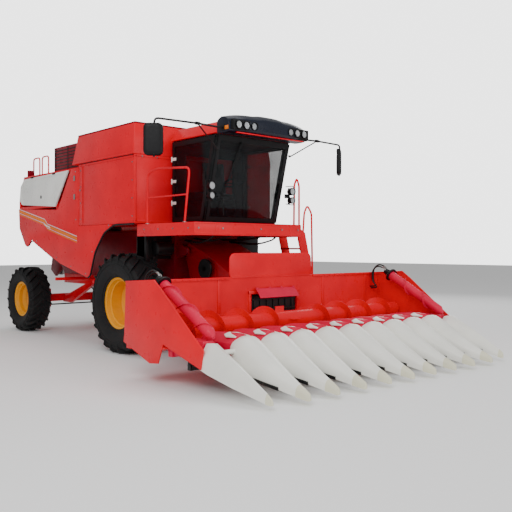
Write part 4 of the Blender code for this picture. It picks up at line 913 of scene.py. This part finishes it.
# %% Roof and visor
softened("cab_frame", black, 0.006)
softened("cab_roof", red, 0.030)
bm = bmesh.new()
sections = [(-1.7403, 3.6003, 3.830), (-1.79, 3.592, 3.868), (-1.88, 3.588, 3.900),
        (-1.98, 3.588, 3.895), (-2.06, 3.592, 3.865),
            (-2.12, 3.605, 3.810), (-2.138, 3.64, 3.760)]
columns = [i / 16 for i in range(-16, 17)]
top, low = [], []
for y, foot, crest in sections:
    hump = [0.018 * max(0.0, 1 - (abs(c) / 0.34) ** 4) for c in columns]
    bow = [0.10 * abs(c) ** 3.0 * (-1.7403 - y) / 0.40 for c in columns]
    sag = [0.055 * abs(c) ** 4 for c in columns]
    top.append([bm.verts.new((c * 0.86, y + b, crest + h - s)) for c, h, b,
            s in zip(columns, hump, bow, sag)])
    low.append([bm.verts.new((c * 0.86, y + b, foot)) for c, b in zip(columns, bow)])
for rows in (top, low):
    for first, second in zip(rows, rows[1:]):
        for a in range(len(columns) - 1):
            bm.faces.new((first[a], first[a + 1], second[a + 1], second[a]))
for a in range(len(columns) - 1):
    bm.faces.new((top[0][a], top[0][a + 1], low[0][a + 1], low[0][a]))
    bm.faces.new((top[-1][a], top[-1][a + 1], low[-1][a + 1], low[-1][a]))
for a in (0, -1):
    for first in range(len(sections) - 1):
        bm.faces.new((top[first][a], top[first + 1][a], low[first + 1][a], low[first][a]))
piece("visor_shell", bm, navy, "chassis", bevel=0.006, smooth=50,
        replaces=["roof_visor"])

bm = bmesh.new()
block(bm, (-0.74, -2.095, 3.575), (0.74, -2.06, 3.592))
piece("visor_trim", bm, red, "chassis", bevel=0.004)
cups, lenses, rings = bmesh.new(), bmesh.new(), bmesh.new()
for side in (-1, 1):
    block(cups, (side * 0.57 - 0.265, -2.118, 3.625), (side * 0.57 + 0.265, -2.06, 3.775))
    for x in (0.405, 0.565, 0.725):
        seat = Vector((side * x, -2.10, 3.70))
        turned(cups, [(0.0, 0.0), (-0.01, 0.066), (-0.044, 0.068), (-0.046, 0.063), (-0.018, 0.054),
                (-0.010, 0.0)], seat, "Y", steps=28)
        turned(lenses, [(-0.034, 0.0), (-0.033, 0.030), (-0.028, 0.052), (-0.024, 0.056),
                (-0.022, 0.0)], seat, "Y", steps=28)
        turned(rings, [(-0.0105, 0.0), (-0.0185, 0.050), (-0.0195, 0.050), (-0.0125, 0.0)], seat,
                "Y", steps=28)
block(cups, (0.56, -2.09, 3.60), (0.84, -1.95, 3.70))
piece("work_lamp_cups", cups, black_plastic, "chassis", smooth=35)
piece("work_lamp_reflectors", rings, chrome, "chassis", smooth=35)
piece("work_lamp_lenses", lenses, lamp_glass, "chassis", smooth=45)
bm = bmesh.new()
turned(bm, [(0.0, 0.0), (0.0, 0.040), (0.030, 0.040), (0.040, 0.030), (0.042, 0.0)],
        Vector((-0.79, -1.93, 3.795)), "Z", steps=20)
block(bm, (-0.868, -2.03, 3.63), (-0.861, -1.93, 3.69))
piece("indicators", bm, amber, "chassis", bevel=0.002)
bm = bmesh.new()
turned(bm, [(0.0, 0.0), (0.0, 0.055), (0.012, 0.055), (0.014, 0.0)], Vector((-0.60, -1.20, 3.82)),
        "Z", steps=24)
turned(bm, [(0.0, 0.0), (0.0, 0.050), (0.075, 0.045), (0.092, 0.02), (0.094, 0.0)],
        Vector((0.55, -0.80, 3.82)), "Z", steps=24)
tube(bm, [(0.62, -0.62, 3.80), (0.62, -0.60, 3.90)], 0.006)
piece("roof_fittings", bm, black_plastic, "chassis")
print("roof, visor and six lamps")

# %% Glass bands, hinges, handles and the wiper
def screen_y(z):
    return -1.34 - 0.25 * (z - 2.21)      # the screen leans forward a quarter of its height


bm = bmesh.new()
for low_z, high_z in ((2.235, 2.30), (3.50, 3.585)):
    prism(bm, [(screen_y(low_z) - 0.0135, low_z), (screen_y(high_z) - 0.0135, high_z),
            (screen_y(high_z) - 0.0165, high_z),
               (screen_y(low_z) - 0.0165, low_z)], "YZ", -0.785, 0.785)
for side in (-1, 1):
    prism(bm, [(screen_y(2.30) - 0.0135, 2.30), (screen_y(3.50) - 0.0135, 3.50),
            (screen_y(3.50) - 0.0165, 3.50),
               (screen_y(2.30) - 0.0165, 2.30)], "YZ", side * 0.725, side * 0.785)
piece("screen_band", bm, black_plastic, "chassis")
for side, word in ((-1, "right"), (1, "left")):
    bm = bmesh.new()
    out, far = side * 0.8285, side * 0.8345
    low, high = 2.235, 3.585
    outline = [(-0.50, low), (screen_y(low) + 0.012, low), (screen_y(high) + 0.012, high),
            (-0.50, high)]
    inner = [(-0.565, low + 0.07), (screen_y(low + 0.07) + 0.085, low + 0.07),
            (screen_y(high - 0.075) + 0.085, high - 0.075),
             (-0.565, high - 0.075)]
    rails = [[bm.verts.new((x, a, b)) for a, b in ring] for x in (out, far) for ring in (outline,
            inner)]
    for k in range(4):
        j = (k + 1) % 4
        for first, second in ((rails[0], rails[1]), (rails[2], rails[3]), (rails[0], rails[2]),
                (rails[1], rails[3])):
            bm.faces.new((first[k], first[j], second[j], second[k]))
    block(bm, (min(far, far + side * 0.022), -1.43, 2.80),
            (max(far, far + side * 0.022), -1.37, 2.98))
    piece("door_band_%s" % word, bm, black_plastic, "cab_door_%s" % word,
            bevel=0.002)
    bm = bmesh.new()
    for z in (2.55, 2.92, 3.30):
        block(bm, (min(far, far + side * 0.012), -0.62, z - 0.025),
                (max(far, far + side * 0.012), -0.50, z + 0.025))
        tube(bm, [(side * 0.846, -0.505, z - 0.045), (side * 0.846, -0.505, z + 0.045)], 0.012)
    piece("door_hinges_%s" % word, bm, white, "cab_door_%s" % word, bevel=0.003)
bm = bmesh.new()
pivot = Vector((-0.30, screen_y(3.50) - 0.03, 3.50))
tip = Vector((-0.52, screen_y(2.62) - 0.032, 2.62))
for offset in (-0.012, 0.014):
    tube(bm, [pivot + Vector((offset, 0, 0)), tip + Vector((offset, 0, 0))], 0.0055, sides=8)
tube(bm, [tip + Vector((-0.03, -0.002, 0.30)), tip + Vector((0.02, -0.002, -0.30))], 0.008, sides=8)
turned(bm, [(0.006, 0.0), (0.0, 0.022), (-0.022, 0.022), (-0.026, 0.0)], pivot, "Y", steps=16)
piece("wiper", bm, black_plastic, "chassis")
print("glass dressed")

# %% Mirrors and pillar lamps
for side, word in ((-1, "right"), (1, "left")):
    bm = bmesh.new()
    tube(bm, bent([(side * 0.8655, -1.90, 3.66), (side * 1.33, -1.86, 3.68),
            (side * 2.05, -1.765, 3.69), (side * 2.05, -1.75, 3.12)],
                  0.07), 0.016, sides=14)
    tube(bm, [(side * 0.815, -1.685, 3.37), (side * 1.33, -1.86, 3.68)], 0.011)
    tube(bm, [(side * 0.815, -1.685, 3.37), (side * 0.815, -1.685, 3.40)], 0.022)
    turned(bm, [(-0.035, 0.0), (-0.035, 0.026), (0.035, 0.026), (0.035, 0.0)],
            Vector((side * 1.33, -1.86, 3.68)), "X", steps=16)
    block(bm, (min(side * 0.861, side * 0.880), -1.945, 3.62),
            (max(side * 0.861, side * 0.880), -1.855, 3.70))
    for z in (3.20, 3.54):
        turned(bm, [(-0.022, 0.0), (-0.022, 0.030), (0.022, 0.030), (0.022, 0.0)],
                Vector((side * 2.05, -1.755, z)), "Z", steps=16)
    piece("mirror_arm_%s" % word, bm, black, "chassis",
            replaces=["mirror_%s" % word])
    bm = bmesh.new()
    outline = rounded((-0.145, 3.14), (0.145, 3.62), 0.075, 6)
    turn = Matrix.Translation((side * 2.05, -1.735, 0.0)) @ Matrix.Rotation(side * radians(38), 4,
            "Z")
    rings = []
    for y, shrink in ((0.030, 0.965), (0.022, 1.0), (-0.010, 1.0), (-0.036, 0.955), (-0.048, 0.86),
            (-0.052, 0.6)):
        rings.append([bm.verts.new(turn @ Vector((a * shrink, y,
                3.38 + (b - 3.38) * (1 - (1 - shrink) * 0.66))))
                      for a, b in outline])
    for first, second in zip(rings, rings[1:]):
        for k in range(len(outline)):
            bm.faces.new((first[k], first[(k + 1) % len(outline)], second[(k + 1) % len(outline)],
                    second[k]))
    bm.faces.new(rings[0])
    bm.faces.new(list(reversed(rings[-1])))
    piece("mirror_shell_%s" % word, bm, black_plastic, "chassis", smooth=45)
    bm = bmesh.new()
    prism(bm, rounded((-0.125, 3.165), (0.125, 3.595), 0.06, 6), "XZ", 0.0305, 0.034)
    bmesh.ops.transform(bm, matrix=turn, verts=bm.verts)
    piece("mirror_glass_%s" % word, bm, chrome, "chassis")
    cups, lenses = bmesh.new(), bmesh.new()
    x = side * 0.90
    for z, r in ((2.775, 0.068), (2.62, 0.058)):
        turned(cups, [(0.07, 0.0), (0.065, r * 0.6), (0.0, r * 0.98), (-0.045, r),
                (-0.05, r * 0.94), (-0.02, r * 0.86), (-0.01, 0.0)],
               Vector((x, -1.645, z)), "Y", steps=24)
        turned(lenses, [(-0.040, 0.0), (-0.036, r * 0.6), (-0.030, r * 0.90), (-0.026, r * 0.90),
                (-0.024, 0.0)],
               Vector((x, -1.645, z)), "Y", steps=24)
    block(cups, (min(side * 0.80, x), -1.60, 2.66), (max(side * 0.80, x), -1.575, 2.73))
    block(cups, (x - 0.016, -1.60, 2.56), (x + 0.016, -1.575, 2.84))
    tube(cups, bent([(side * 0.82, -1.59, 2.56), (side * 0.99, -1.62, 2.54),
            (side * 0.99, -1.62, 2.88), (side * 0.82, -1.59, 2.86)], 0.05), 0.008)
    piece("pillar_lamp_cups_%s" % word, cups, black_plastic, "chassis", smooth=40,
            replaces=["pillar_lamp_%s" % word])
    piece("pillar_lamp_lenses_%s" % word, lenses, lamp_glass, "chassis", smooth=45)
print("mirrors and pillar lamps")

# %% [markdown]
# Inside the cab a suspension seat, a leaning steering column and a side console show through the
# glass. The cushions are crowned closed forms whose sides pull in between the corners, with two
# sewn channels pressed into each.

# %% Seat, wheel and console
def cushion(name, centre, size, lean, channels):
    bm = bmesh.new()
    bmesh.ops.create_cube(bm, size=1.0)
    bmesh.ops.subdivide_edges(bm, edges=bm.edges, cuts=9, use_grid_fill=True)
    for vert in bm.verts:
        u, v, w = vert.co * 2
        pull = 0.06 * (1 - u * u) * abs(v) + 0.0
        crown = (1 - u ** 4) * (1 - v ** 4)
        groove = sum(0.10 * max(0.0, 1 - abs(u - c) / 0.16) ** 2 for c in channels)
        x, y = u * (1 - 0.05 * (1 - v * v) * 0.5), v * (1 - pull)
        z = w * (0.62 + 0.38 * crown) - (groove * crown if w > 0 else 0.0)
        vert.co = Vector((x * size[0] / 2, y * size[1] / 2, z * size[2] / 2))
    turn = Matrix.Rotation(lean, 4, "X")
    bmesh.ops.transform(bm, matrix=Matrix.Translation(centre) @ turn, verts=bm.verts)
    made = piece(name, bm, seat_cloth, "chassis", smooth=80)
    smooth = made.modifiers.new("round", "SUBSURF")
    smooth.levels = smooth.render_levels = 1
    return made


seat_pad = cushion("seat_cushion", (0.0, -0.80, 2.68), (0.48, 0.42, 0.11), 0.0, (-0.45, 0.45))
cushion("seat_back", (0.0, -0.60, 3.02), (0.46, 0.56, 0.10), radians(83), (-0.45, 0.45))
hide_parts("seat")
softened("seat_base", black_plastic, 0.008)
bm = bmesh.new()
hub, lean = Vector((0.0, -1.18, 2.92)), Vector((0.0, -0.35, -0.94)).normalized()
across, up = Vector((1, 0, 0)), Vector((1, 0, 0)).cross(lean)
WHEEL_R, WHEEL_STEPS = 0.19, 40       # the steering wheel's radius, and the points round its grip
turns = [2 * pi * i / WHEEL_STEPS for i in range(WHEEL_STEPS)]
tube(bm, [hub + (across * cos(a) + up * sin(a)) * WHEEL_R for a in turns], 0.014, sides=12,
        closed=True)
for angle in (0.5, 2.6, 4.7):
    tube(bm, [hub + lean * 0.03, hub + (across * cos(angle) + up * sin(angle)) * 0.185], 0.010,
            sides=8)
tube(bm, [hub + lean * 0.01, hub + lean * 0.06], 0.045, sides=20)
tube(bm, [hub + lean * 0.05, Vector((0.0, -1.21, 2.28))], 0.032, sides=14)
block(bm, (-0.09, -1.25, 2.262), (0.09, -1.12, 2.34))
block(bm, (-0.085, -1.36, 2.93), (0.085, -1.33, 3.06))
piece("steering_wheel", bm, black_plastic, "chassis", bevel=0.002,
        replaces=["steering_column"])
bm = bmesh.new()
block(bm, (-0.58, -1.12, 2.66), (-0.36, -0.62, 2.74))
tube(bm, [(-0.44, -1.04, 2.73), (-0.43, -1.06, 2.90)], 0.012)
turned(bm, [(0.0, 0.0), (0.0, 0.028), (0.03, 0.034), (0.06, 0.028), (0.066, 0.0)],
        Vector((-0.43, -1.06, 2.89)), "Z", steps=16)
block(bm, (-0.62, -1.27, 2.95), (-0.40, -1.24, 3.12))
piece("console", bm, black_plastic, "chassis", bevel=0.006)
print("cab furnished")

# %% [markdown]
# ## Body, platform and running gear
# Every remaining panel and casting keeps the frame's shape with rounded edges, then gets what a
# plain panel lacks: seams, ribs, liners, latches, stripes and fasteners.

# %% Rounded frame parts
# A darker copy of the red enamel: painted shade for the feeder house and its ribs, which sit under the
# cab.
red_in_painted_shade = enamel("painted_shade_red_enamel", (0.42, 0.002, 0.012), roughness=0.42, dust=0.30, coat=0.02,
        specular=0.2)
SOFT = [("grain_tank", red, 0.012), ("tank_extension", red, 0.014), ("rear_hood", red, 0.006),
        ("side_panel_right", red, 0.006),
        ("side_panel_left", red, 0.006), ("service_panel_right", panel_white, 0.014),
                ("service_panel_left", panel_white, 0.014),
        ("separator_body", dark_red, 0.006), ("main_frame", red, 0.005),
                # the feeder house takes the darker red enamel: painted shade under the cab
                ("feeder_house", red_in_painted_shade, 0.006), ("front_axle", dark_red, 0.006),
        ("rear_axle", red, 0.006), ("straw_chopper", dark_red, 0.006),
                ("engine_block", steel, 0.010), ("platform", red, 0.003),
        # the air-intake box takes the dark red enamel as painted shade: it stands in shade behind the
        # tank extension
        ("ladder", red, 0.003), ("deck_rails", red, 0.003), ("air_intake_box", dark_red, 0.015),
                ("tank_cover_right", dark_red, 0.004),
        ("tank_cover_left", dark_red, 0.004), ("unloading_auger", dark_red, 0.006),
                ("knuckle_right", black, 0.004),
        ("knuckle_left", black, 0.004), ("tie_rod", black, 0.003), ("lift_barrels", black, 0.003),
                ("lift_rods", chrome, 0.001)]
for node, finish, width in SOFT:
    softened(node, finish, width)
print(len(SOFT), "frame parts rounded")

# %% Tank seams, ribs and covers
# A black band in the gap under the tank extension's overhanging edge: painted shade for the shadow
# line beneath it.
bm = bmesh.new()
block(bm, (-1.5480, -0.40, 3.338), (1.5480, 1.47, 3.352))
piece("tank_shadow_band", bm, black_plastic, "chassis")
bm = bmesh.new()
for side in (-1, 1):
    x0, x1 = side * 1.5455, side * 1.5525
    for y in (-0.415, 1.345):
        prism(bm, [(y, 2.215), (y + 0.012, 2.215), (y + 0.012, 3.335), (y, 3.335)], "YZ", x0, x1)
    prism(bm, [(-0.42, 2.225), (1.49, 2.225), (1.49, 2.245), (-0.42, 2.245)], "YZ", x0, x1)
    prism(bm, [(-0.42, 3.30), (1.49, 3.30), (1.49, 3.325), (-0.42, 3.325)], "YZ", x0, x1)
    prism(bm, [(-0.42, 3.356), (1.70, 3.356), (1.70, 3.385), (-0.42, 3.385)], "YZ", side * 1.5715,
            side * 1.5745)
for x in (-1.52, 1.52):
    block(bm, (x - 0.012, -0.4375, 2.235), (x + 0.012, -0.4305, 3.33))
for z in (2.23, 3.31):
    block(bm, (-1.53, -0.4375, z), (1.53, -0.4305, z + 0.02))
piece("tank_ribs", bm, red, "chassis", bevel=0.002)
bm = bmesh.new()
for side in (-1, 1):
    x = side * 1.5460
    bolts(bm, [(x, y, z) for y in (-0.36, 1.42) for z in (2.32, 2.62, 2.92, 3.22)], (side, 0, 0),
            0.010)
    bolts(bm, [(side * 1.552, y, 2.86) for y in (1.44,)], (side, 0, 0), 0.014)
bolts(bm, [(x, -0.4385, 3.32) for x in (-1.4, -1.1, 1.1, 1.4)], (0, -1, 0), 0.010)
piece("tank_bolts", bm, steel, "chassis")
for side, word in ((-1, "right"), (1, "left")):
    bm = bmesh.new()
    for y in (-0.28, 0.30, 0.88, 1.44):
        block(bm, (min(side * 0.06, side * 1.46), y, 3.8985),
                (max(side * 0.06, side * 1.46), y + 0.04, 3.912))
    piece("cover_ribs_%s" % word, bm, dark_red, "tank_cover_%s" % word, bevel=0.003)
print("tank dressed")

# %% Side panels: liners, stripes, latches
orange = enamel("stripe_orange", (0.92, 0.24, 0.002), roughness=0.4, dust=0.08, coat=0.02,
        specular=0.2)
stripe_white = enamel("stripe_white", (0.82, 0.82, 0.78), roughness=0.4, dust=0.2, coat=0.1)
ARCH = [(1.16, 1.245), (1.075, 1.285), (0.895, 1.715), (0.58, 2.055), (0.30, 2.165), (0.16, 2.19),
        (-0.40, 2.19)]
REAR_ARCH = [(1.20, 1.245), (2.24, 1.475), (2.60, 1.595), (3.30, 1.855), (3.55, 1.955),
        (3.72, 1.815), (3.86, 1.835), (4.15, 2.20)]
for side, word in ((-1, "right"), (1, "left")):
    edge, stripe, line, latch = bmesh.new(), bmesh.new(), bmesh.new(), bmesh.new()
    x = side * 1.536
    tube(edge, bent([(x, y, z) for y, z in ARCH], 0.12), 0.017, sides=8)
    tube(edge, bent([(x, y, z) for y, z in REAR_ARCH], 0.12), 0.012, sides=8)
    skin, out = side * 1.5503, side * 1.5520
    upper = [(4.175, 2.655), (3.30, 2.475), (2.93, 2.40), (2.80, 2.30), (1.56, 2.035)]
    def band(bm, low, high, lift=0.0):
        outline = [(y, z + low) for y, z in upper] + [(y, z + high) for y, z in reversed(upper)]
        prism(bm, outline, "YZ", skin, out + side * lift)
    band(stripe, -0.095, -0.055)
    band(stripe, -0.150, -0.135)
    band(line, -0.038, -0.024)
    band(line, -0.120, -0.110)
    prism(line, [(2.70, 2.215), (2.98, 2.285), (2.90, 2.235), (2.66, 2.175)], "YZ", out,
            out + side * 0.001)
    piece("arch_liner_%s" % word, edge, black_plastic, "chassis", smooth=50)
    piece("stripe_%s" % word, stripe, orange, "chassis")
    piece("stripe_line_%s" % word, line, stripe_white, "chassis")
    bolts(latch, [(side * 1.5505, y, z) for y,
            z in ((0.40, 2.185), (0.98, 1.72), (1.22, 1.32), (1.80, 1.44), (2.40, 1.60),
            (3.30, 1.93),
                                                    (3.95, 2.05), (4.12, 2.40), (1.62, 3.22),
                                                            (1.60, 2.32))], (side, 0, 0), 0.010)
    block(latch, (min(skin, skin + side * 0.012), 1.62, 2.70),
            (max(skin, skin + side * 0.012), 1.68, 2.80))
    block(latch, (min(skin, skin + side * 0.012), 1.62, 3.05),
            (max(skin, skin + side * 0.012), 1.68, 3.15))
    piece("panel_fasteners_%s" % word, latch, steel, "chassis", bevel=0.002)
    frame_bm, lock = bmesh.new(), bmesh.new()
    rim_line = [(2.50, 2.655), (2.02, 3.225), (3.83, 3.20), (3.985, 3.06), (4.04, 2.82),
            (3.93, 2.745)]
    tube(frame_bm, bent([(side * 1.581, y, z) for y, z in rim_line + rim_line[:1]], 0.07), 0.009,
            sides=8)
    prism(frame_bm, [(2.62, 2.72), (2.20, 3.16), (3.78, 3.13), (3.90, 3.02), (3.93, 2.84),
            (3.86, 2.79)], "YZ", side * 1.5803, side * 1.5838)
    piece("service_panel_rim_%s" % word, frame_bm, panel_white, "service_panel_%s" % word,
            bevel=0.003, smooth=50)
    turned(lock, [(0.0, 0.0), (0.0, 0.030), (side * 0.006, 0.028), (side * 0.008, 0.0)],
            Vector((side * 1.5842, 3.02, 2.82)), "X", steps=20)
    block(lock, (min(side * 1.5842, side * 1.592), 3.00, 2.79),
            (max(side * 1.5842, side * 1.592), 3.04, 2.85))
    for y in (2.40, 3.40):
        block(lock, (min(side * 1.560, side * 1.590), y, 3.235),
                (max(side * 1.560, side * 1.590), y + 0.11, 3.262))
    piece("service_panel_latch_%s" % word, lock, black_plastic, "service_panel_%s" % word,
            bevel=0.002)
print("side panels dressed")

# %% Platform, ladder and the space under the cab
bm = bmesh.new()
for i in range(9):
    for k in range(6):
        block(bm, (-1.42 + 0.072 * i, -1.92 + 0.05 * k, 2.1802),
                (-1.385 + 0.072 * i, -1.908 + 0.05 * k, 2.184))
for i in range(30):
    for k in range(4):
        block(bm, (-0.74 + 0.05 * i, -1.96 + 0.05 * k, 2.1802),
                (-0.715 + 0.05 * i, -1.948 + 0.05 * k, 2.184))
piece("deck_treads", bm, red, "chassis")
bm = bmesh.new()
prism(bm, [(-1.49, 2.00), (0.77, 2.00), (0.77, 2.018), (-1.49, 2.018)], "XZ", -2.006, -1.9705)
prism(bm, [(-1.49, 2.158), (0.775, 2.158), (0.775, 2.178), (-1.49, 2.178)], "XZ", -2.006, -1.9705)
for x in (-1.1, -0.3, 0.5):
    block(bm, (x, -2.004, 2.018), (x + 0.012, -1.999, 2.158))
piece("fascia_folds", bm, red, "chassis", bevel=0.002)
bm = bmesh.new()
bolts(bm, [(x, -2.0045, 2.09) for x in (-1.42, -0.95, -0.15, 0.32, 0.70)], (0, -1, 0), 0.011)
bolts(bm, [(-1.5005, y, 2.09) for y in (-1.85, -1.45, -1.05, -0.65)], (-1, 0, 0), 0.011)
for y in (-0.72, -1.735):
    turned(bm, [(0.0, 0.0), (0.0, 0.036), (0.008, 0.034), (0.008, 0.0)], Vector((-1.48, y, 2.1802)),
            "Z", steps=20)
piece("platform_bolts", bm, steel, "chassis")
bm = bmesh.new()
ROUTES = [((-0.50, -0.42, 1.92), (-0.62, -1.00, 1.86), (-0.66, -1.40, 1.96), (-0.64, -1.46, 2.13)),
          ((-0.30, -0.42, 1.95), (-0.36, -0.95, 1.90), (-0.40, -1.60, 1.99), (-0.40, -1.66, 2.13)),
          ((0.30, -0.42, 1.94), (0.34, -0.90, 1.92), (0.36, -1.45, 1.97), (0.38, -1.52, 2.13)),
          ((0.52, -0.42, 1.90), (0.66, -1.00, 1.84), (0.72, -1.42, 1.94), (0.72, -1.46, 2.13))]
for route in ROUTES:
    tube(bm, bent(route, 0.2, steps=8), 0.014, sides=10)
    tube(bm, bent([Vector(p) + Vector((0.04, 0.01, 0.012)) for p in route], 0.2, steps=8), 0.011,
            sides=10)
piece("under_cab_hoses", bm, hose_rubber, "chassis")
bm = bmesh.new()
for x in (-1.25, -1.10):
    block(bm, (x - 0.05, -0.39, 1.55), (x + 0.05, -0.10, 2.08))
block(bm, (-1.30, -0.36, 1.60), (-0.76, -0.12, 2.10))
block(bm, (0.76, -0.36, 1.50), (1.30, -0.10, 2.10))
turned(bm, [(-0.17, 0.0), (-0.17, 0.11), (-0.15, 0.13), (0.15, 0.13), (0.17, 0.11), (0.17, 0.0)],
        Vector((-0.98, -0.42, 1.78)), "X", steps=24)
piece("under_deck_units", bm, black, "chassis", bevel=0.012)
print("platform dressed")

# %% Feeder house, axles and rear
bm = bmesh.new()
for t in (0.08, 0.34, 0.60, 0.86):
    y, z = -0.72 - 1.22 * t, 1.790 - 0.520 * t
    block(bm, (-0.545, y - 0.022, z - 0.05), (0.545, y + 0.022, z + 0.012 - 0.02 * t))
for side in (-1, 1):
    for y, z in ((-0.95, 1.40), (-1.35, 1.22), (-1.75, 1.02)):
        prism(bm, [(y - 0.02, z - 0.24), (y + 0.02, z - 0.22), (y + 0.02, z + 0.20),
                (y - 0.02, z + 0.20)], "YZ", side * 0.5505, side * 0.566)
# The feeder ribs take the darker red enamel: painted shade under the cab.
piece("feeder_ribs", bm, red_in_painted_shade, "header", bevel=0.003)
bm = bmesh.new()
for side in (-1, 1):
    x = side * 0.63
    turned(bm, [(-0.02, 0.0), (-0.02, 0.16), (-0.012, 0.17), (0.012, 0.17), (0.02, 0.16),
            (0.02, 0.0)], Vector((x, -1.15, 1.44)), "X", steps=36)
    tube(bm, [(side * 0.552, -1.15, 1.44), (side * 0.65, -1.15, 1.44)], 0.035, sides=16)
piece("feeder_pulleys", bm, black, "header", smooth=30)
bm = bmesh.new()
for side in (-1, 1):
    for i in range(10):
        angle = 2 * pi * i / 10
        bolts(bm, [(side * 1.0405, 0.225 * cos(angle), 0.85 + 0.225 * sin(angle))], (side, 0, 0),
                0.014, 0.014)
piece("final_drive_bolts", bm, steel, "chassis")
bm = bmesh.new()
for i in range(14):
    z = 2.32 + 0.03 * i
    block(bm, (-0.62, 4.1965, z), (0.62, 4.206, z + 0.014))
block(bm, (-0.66, 4.192, 2.27), (-0.62, 4.209, 2.76))
block(bm, (0.62, 4.192, 2.27), (0.66, 4.209, 2.76))
piece("rear_grille", bm, black_plastic, "chassis")
bm = bmesh.new()
for side in (-1, 1):
    block(bm, (side * 1.30 - 0.10, 4.19, 2.30), (side * 1.30 + 0.10, 4.222, 2.42))
piece("rear_lamp_cases", bm, black_plastic, "chassis", bevel=0.006)
tail_red = tinted_glass("tail_lens", (0.55, 0.003, 0.006), 0.92, 0.12)
bm = bmesh.new()
for side in (-1, 1):
    block(bm, (side * 1.30 - 0.09, 4.2225, 2.31), (side * 1.30 + 0.0, 4.232, 2.41))
piece("tail_lenses", bm, tail_red, "chassis", bevel=0.004)
bm = bmesh.new()
for side in (-1, 1):
    block(bm, (side * 1.30 + 0.01, 4.2225, 2.31), (side * 1.30 + 0.09, 4.232, 2.41))
piece("tail_indicators", bm, amber, "chassis", bevel=0.004)
bm = bmesh.new()
for i in range(11):
    block(bm, (-0.60 + 0.12 * i - 0.004, 4.05, 1.19 + 0.0), (-0.60 + 0.12 * i + 0.004, 4.36, 1.60))
piece("chopper_vanes", bm, steel, "chassis")
bm = bmesh.new()
for k in range(7):
    z = 3.38 + 0.062 * k
    block(bm, (-1.3065, 1.88, z), (-1.3005, 2.94, z + 0.018))
    block(bm, (0.3005, 1.88, z), (0.3065, 2.94, z + 0.018))
block(bm, (-1.22, 3.0205, 3.36), (0.22, 3.0285, 3.78))
for y in (1.86, 2.40, 2.94):
    block(bm, (-1.308, y, 3.34), (-1.3005, y + 0.02, 3.82))
piece("intake_louvres", bm, black, "chassis", bevel=0.002)
bm = bmesh.new()
block(bm, (-1.42, 4.06, 3.3005), (-1.28, 4.00, 3.46))
piece("corner_lamp", bm, dark_red, "chassis", bevel=0.01)
print("rear dressed")
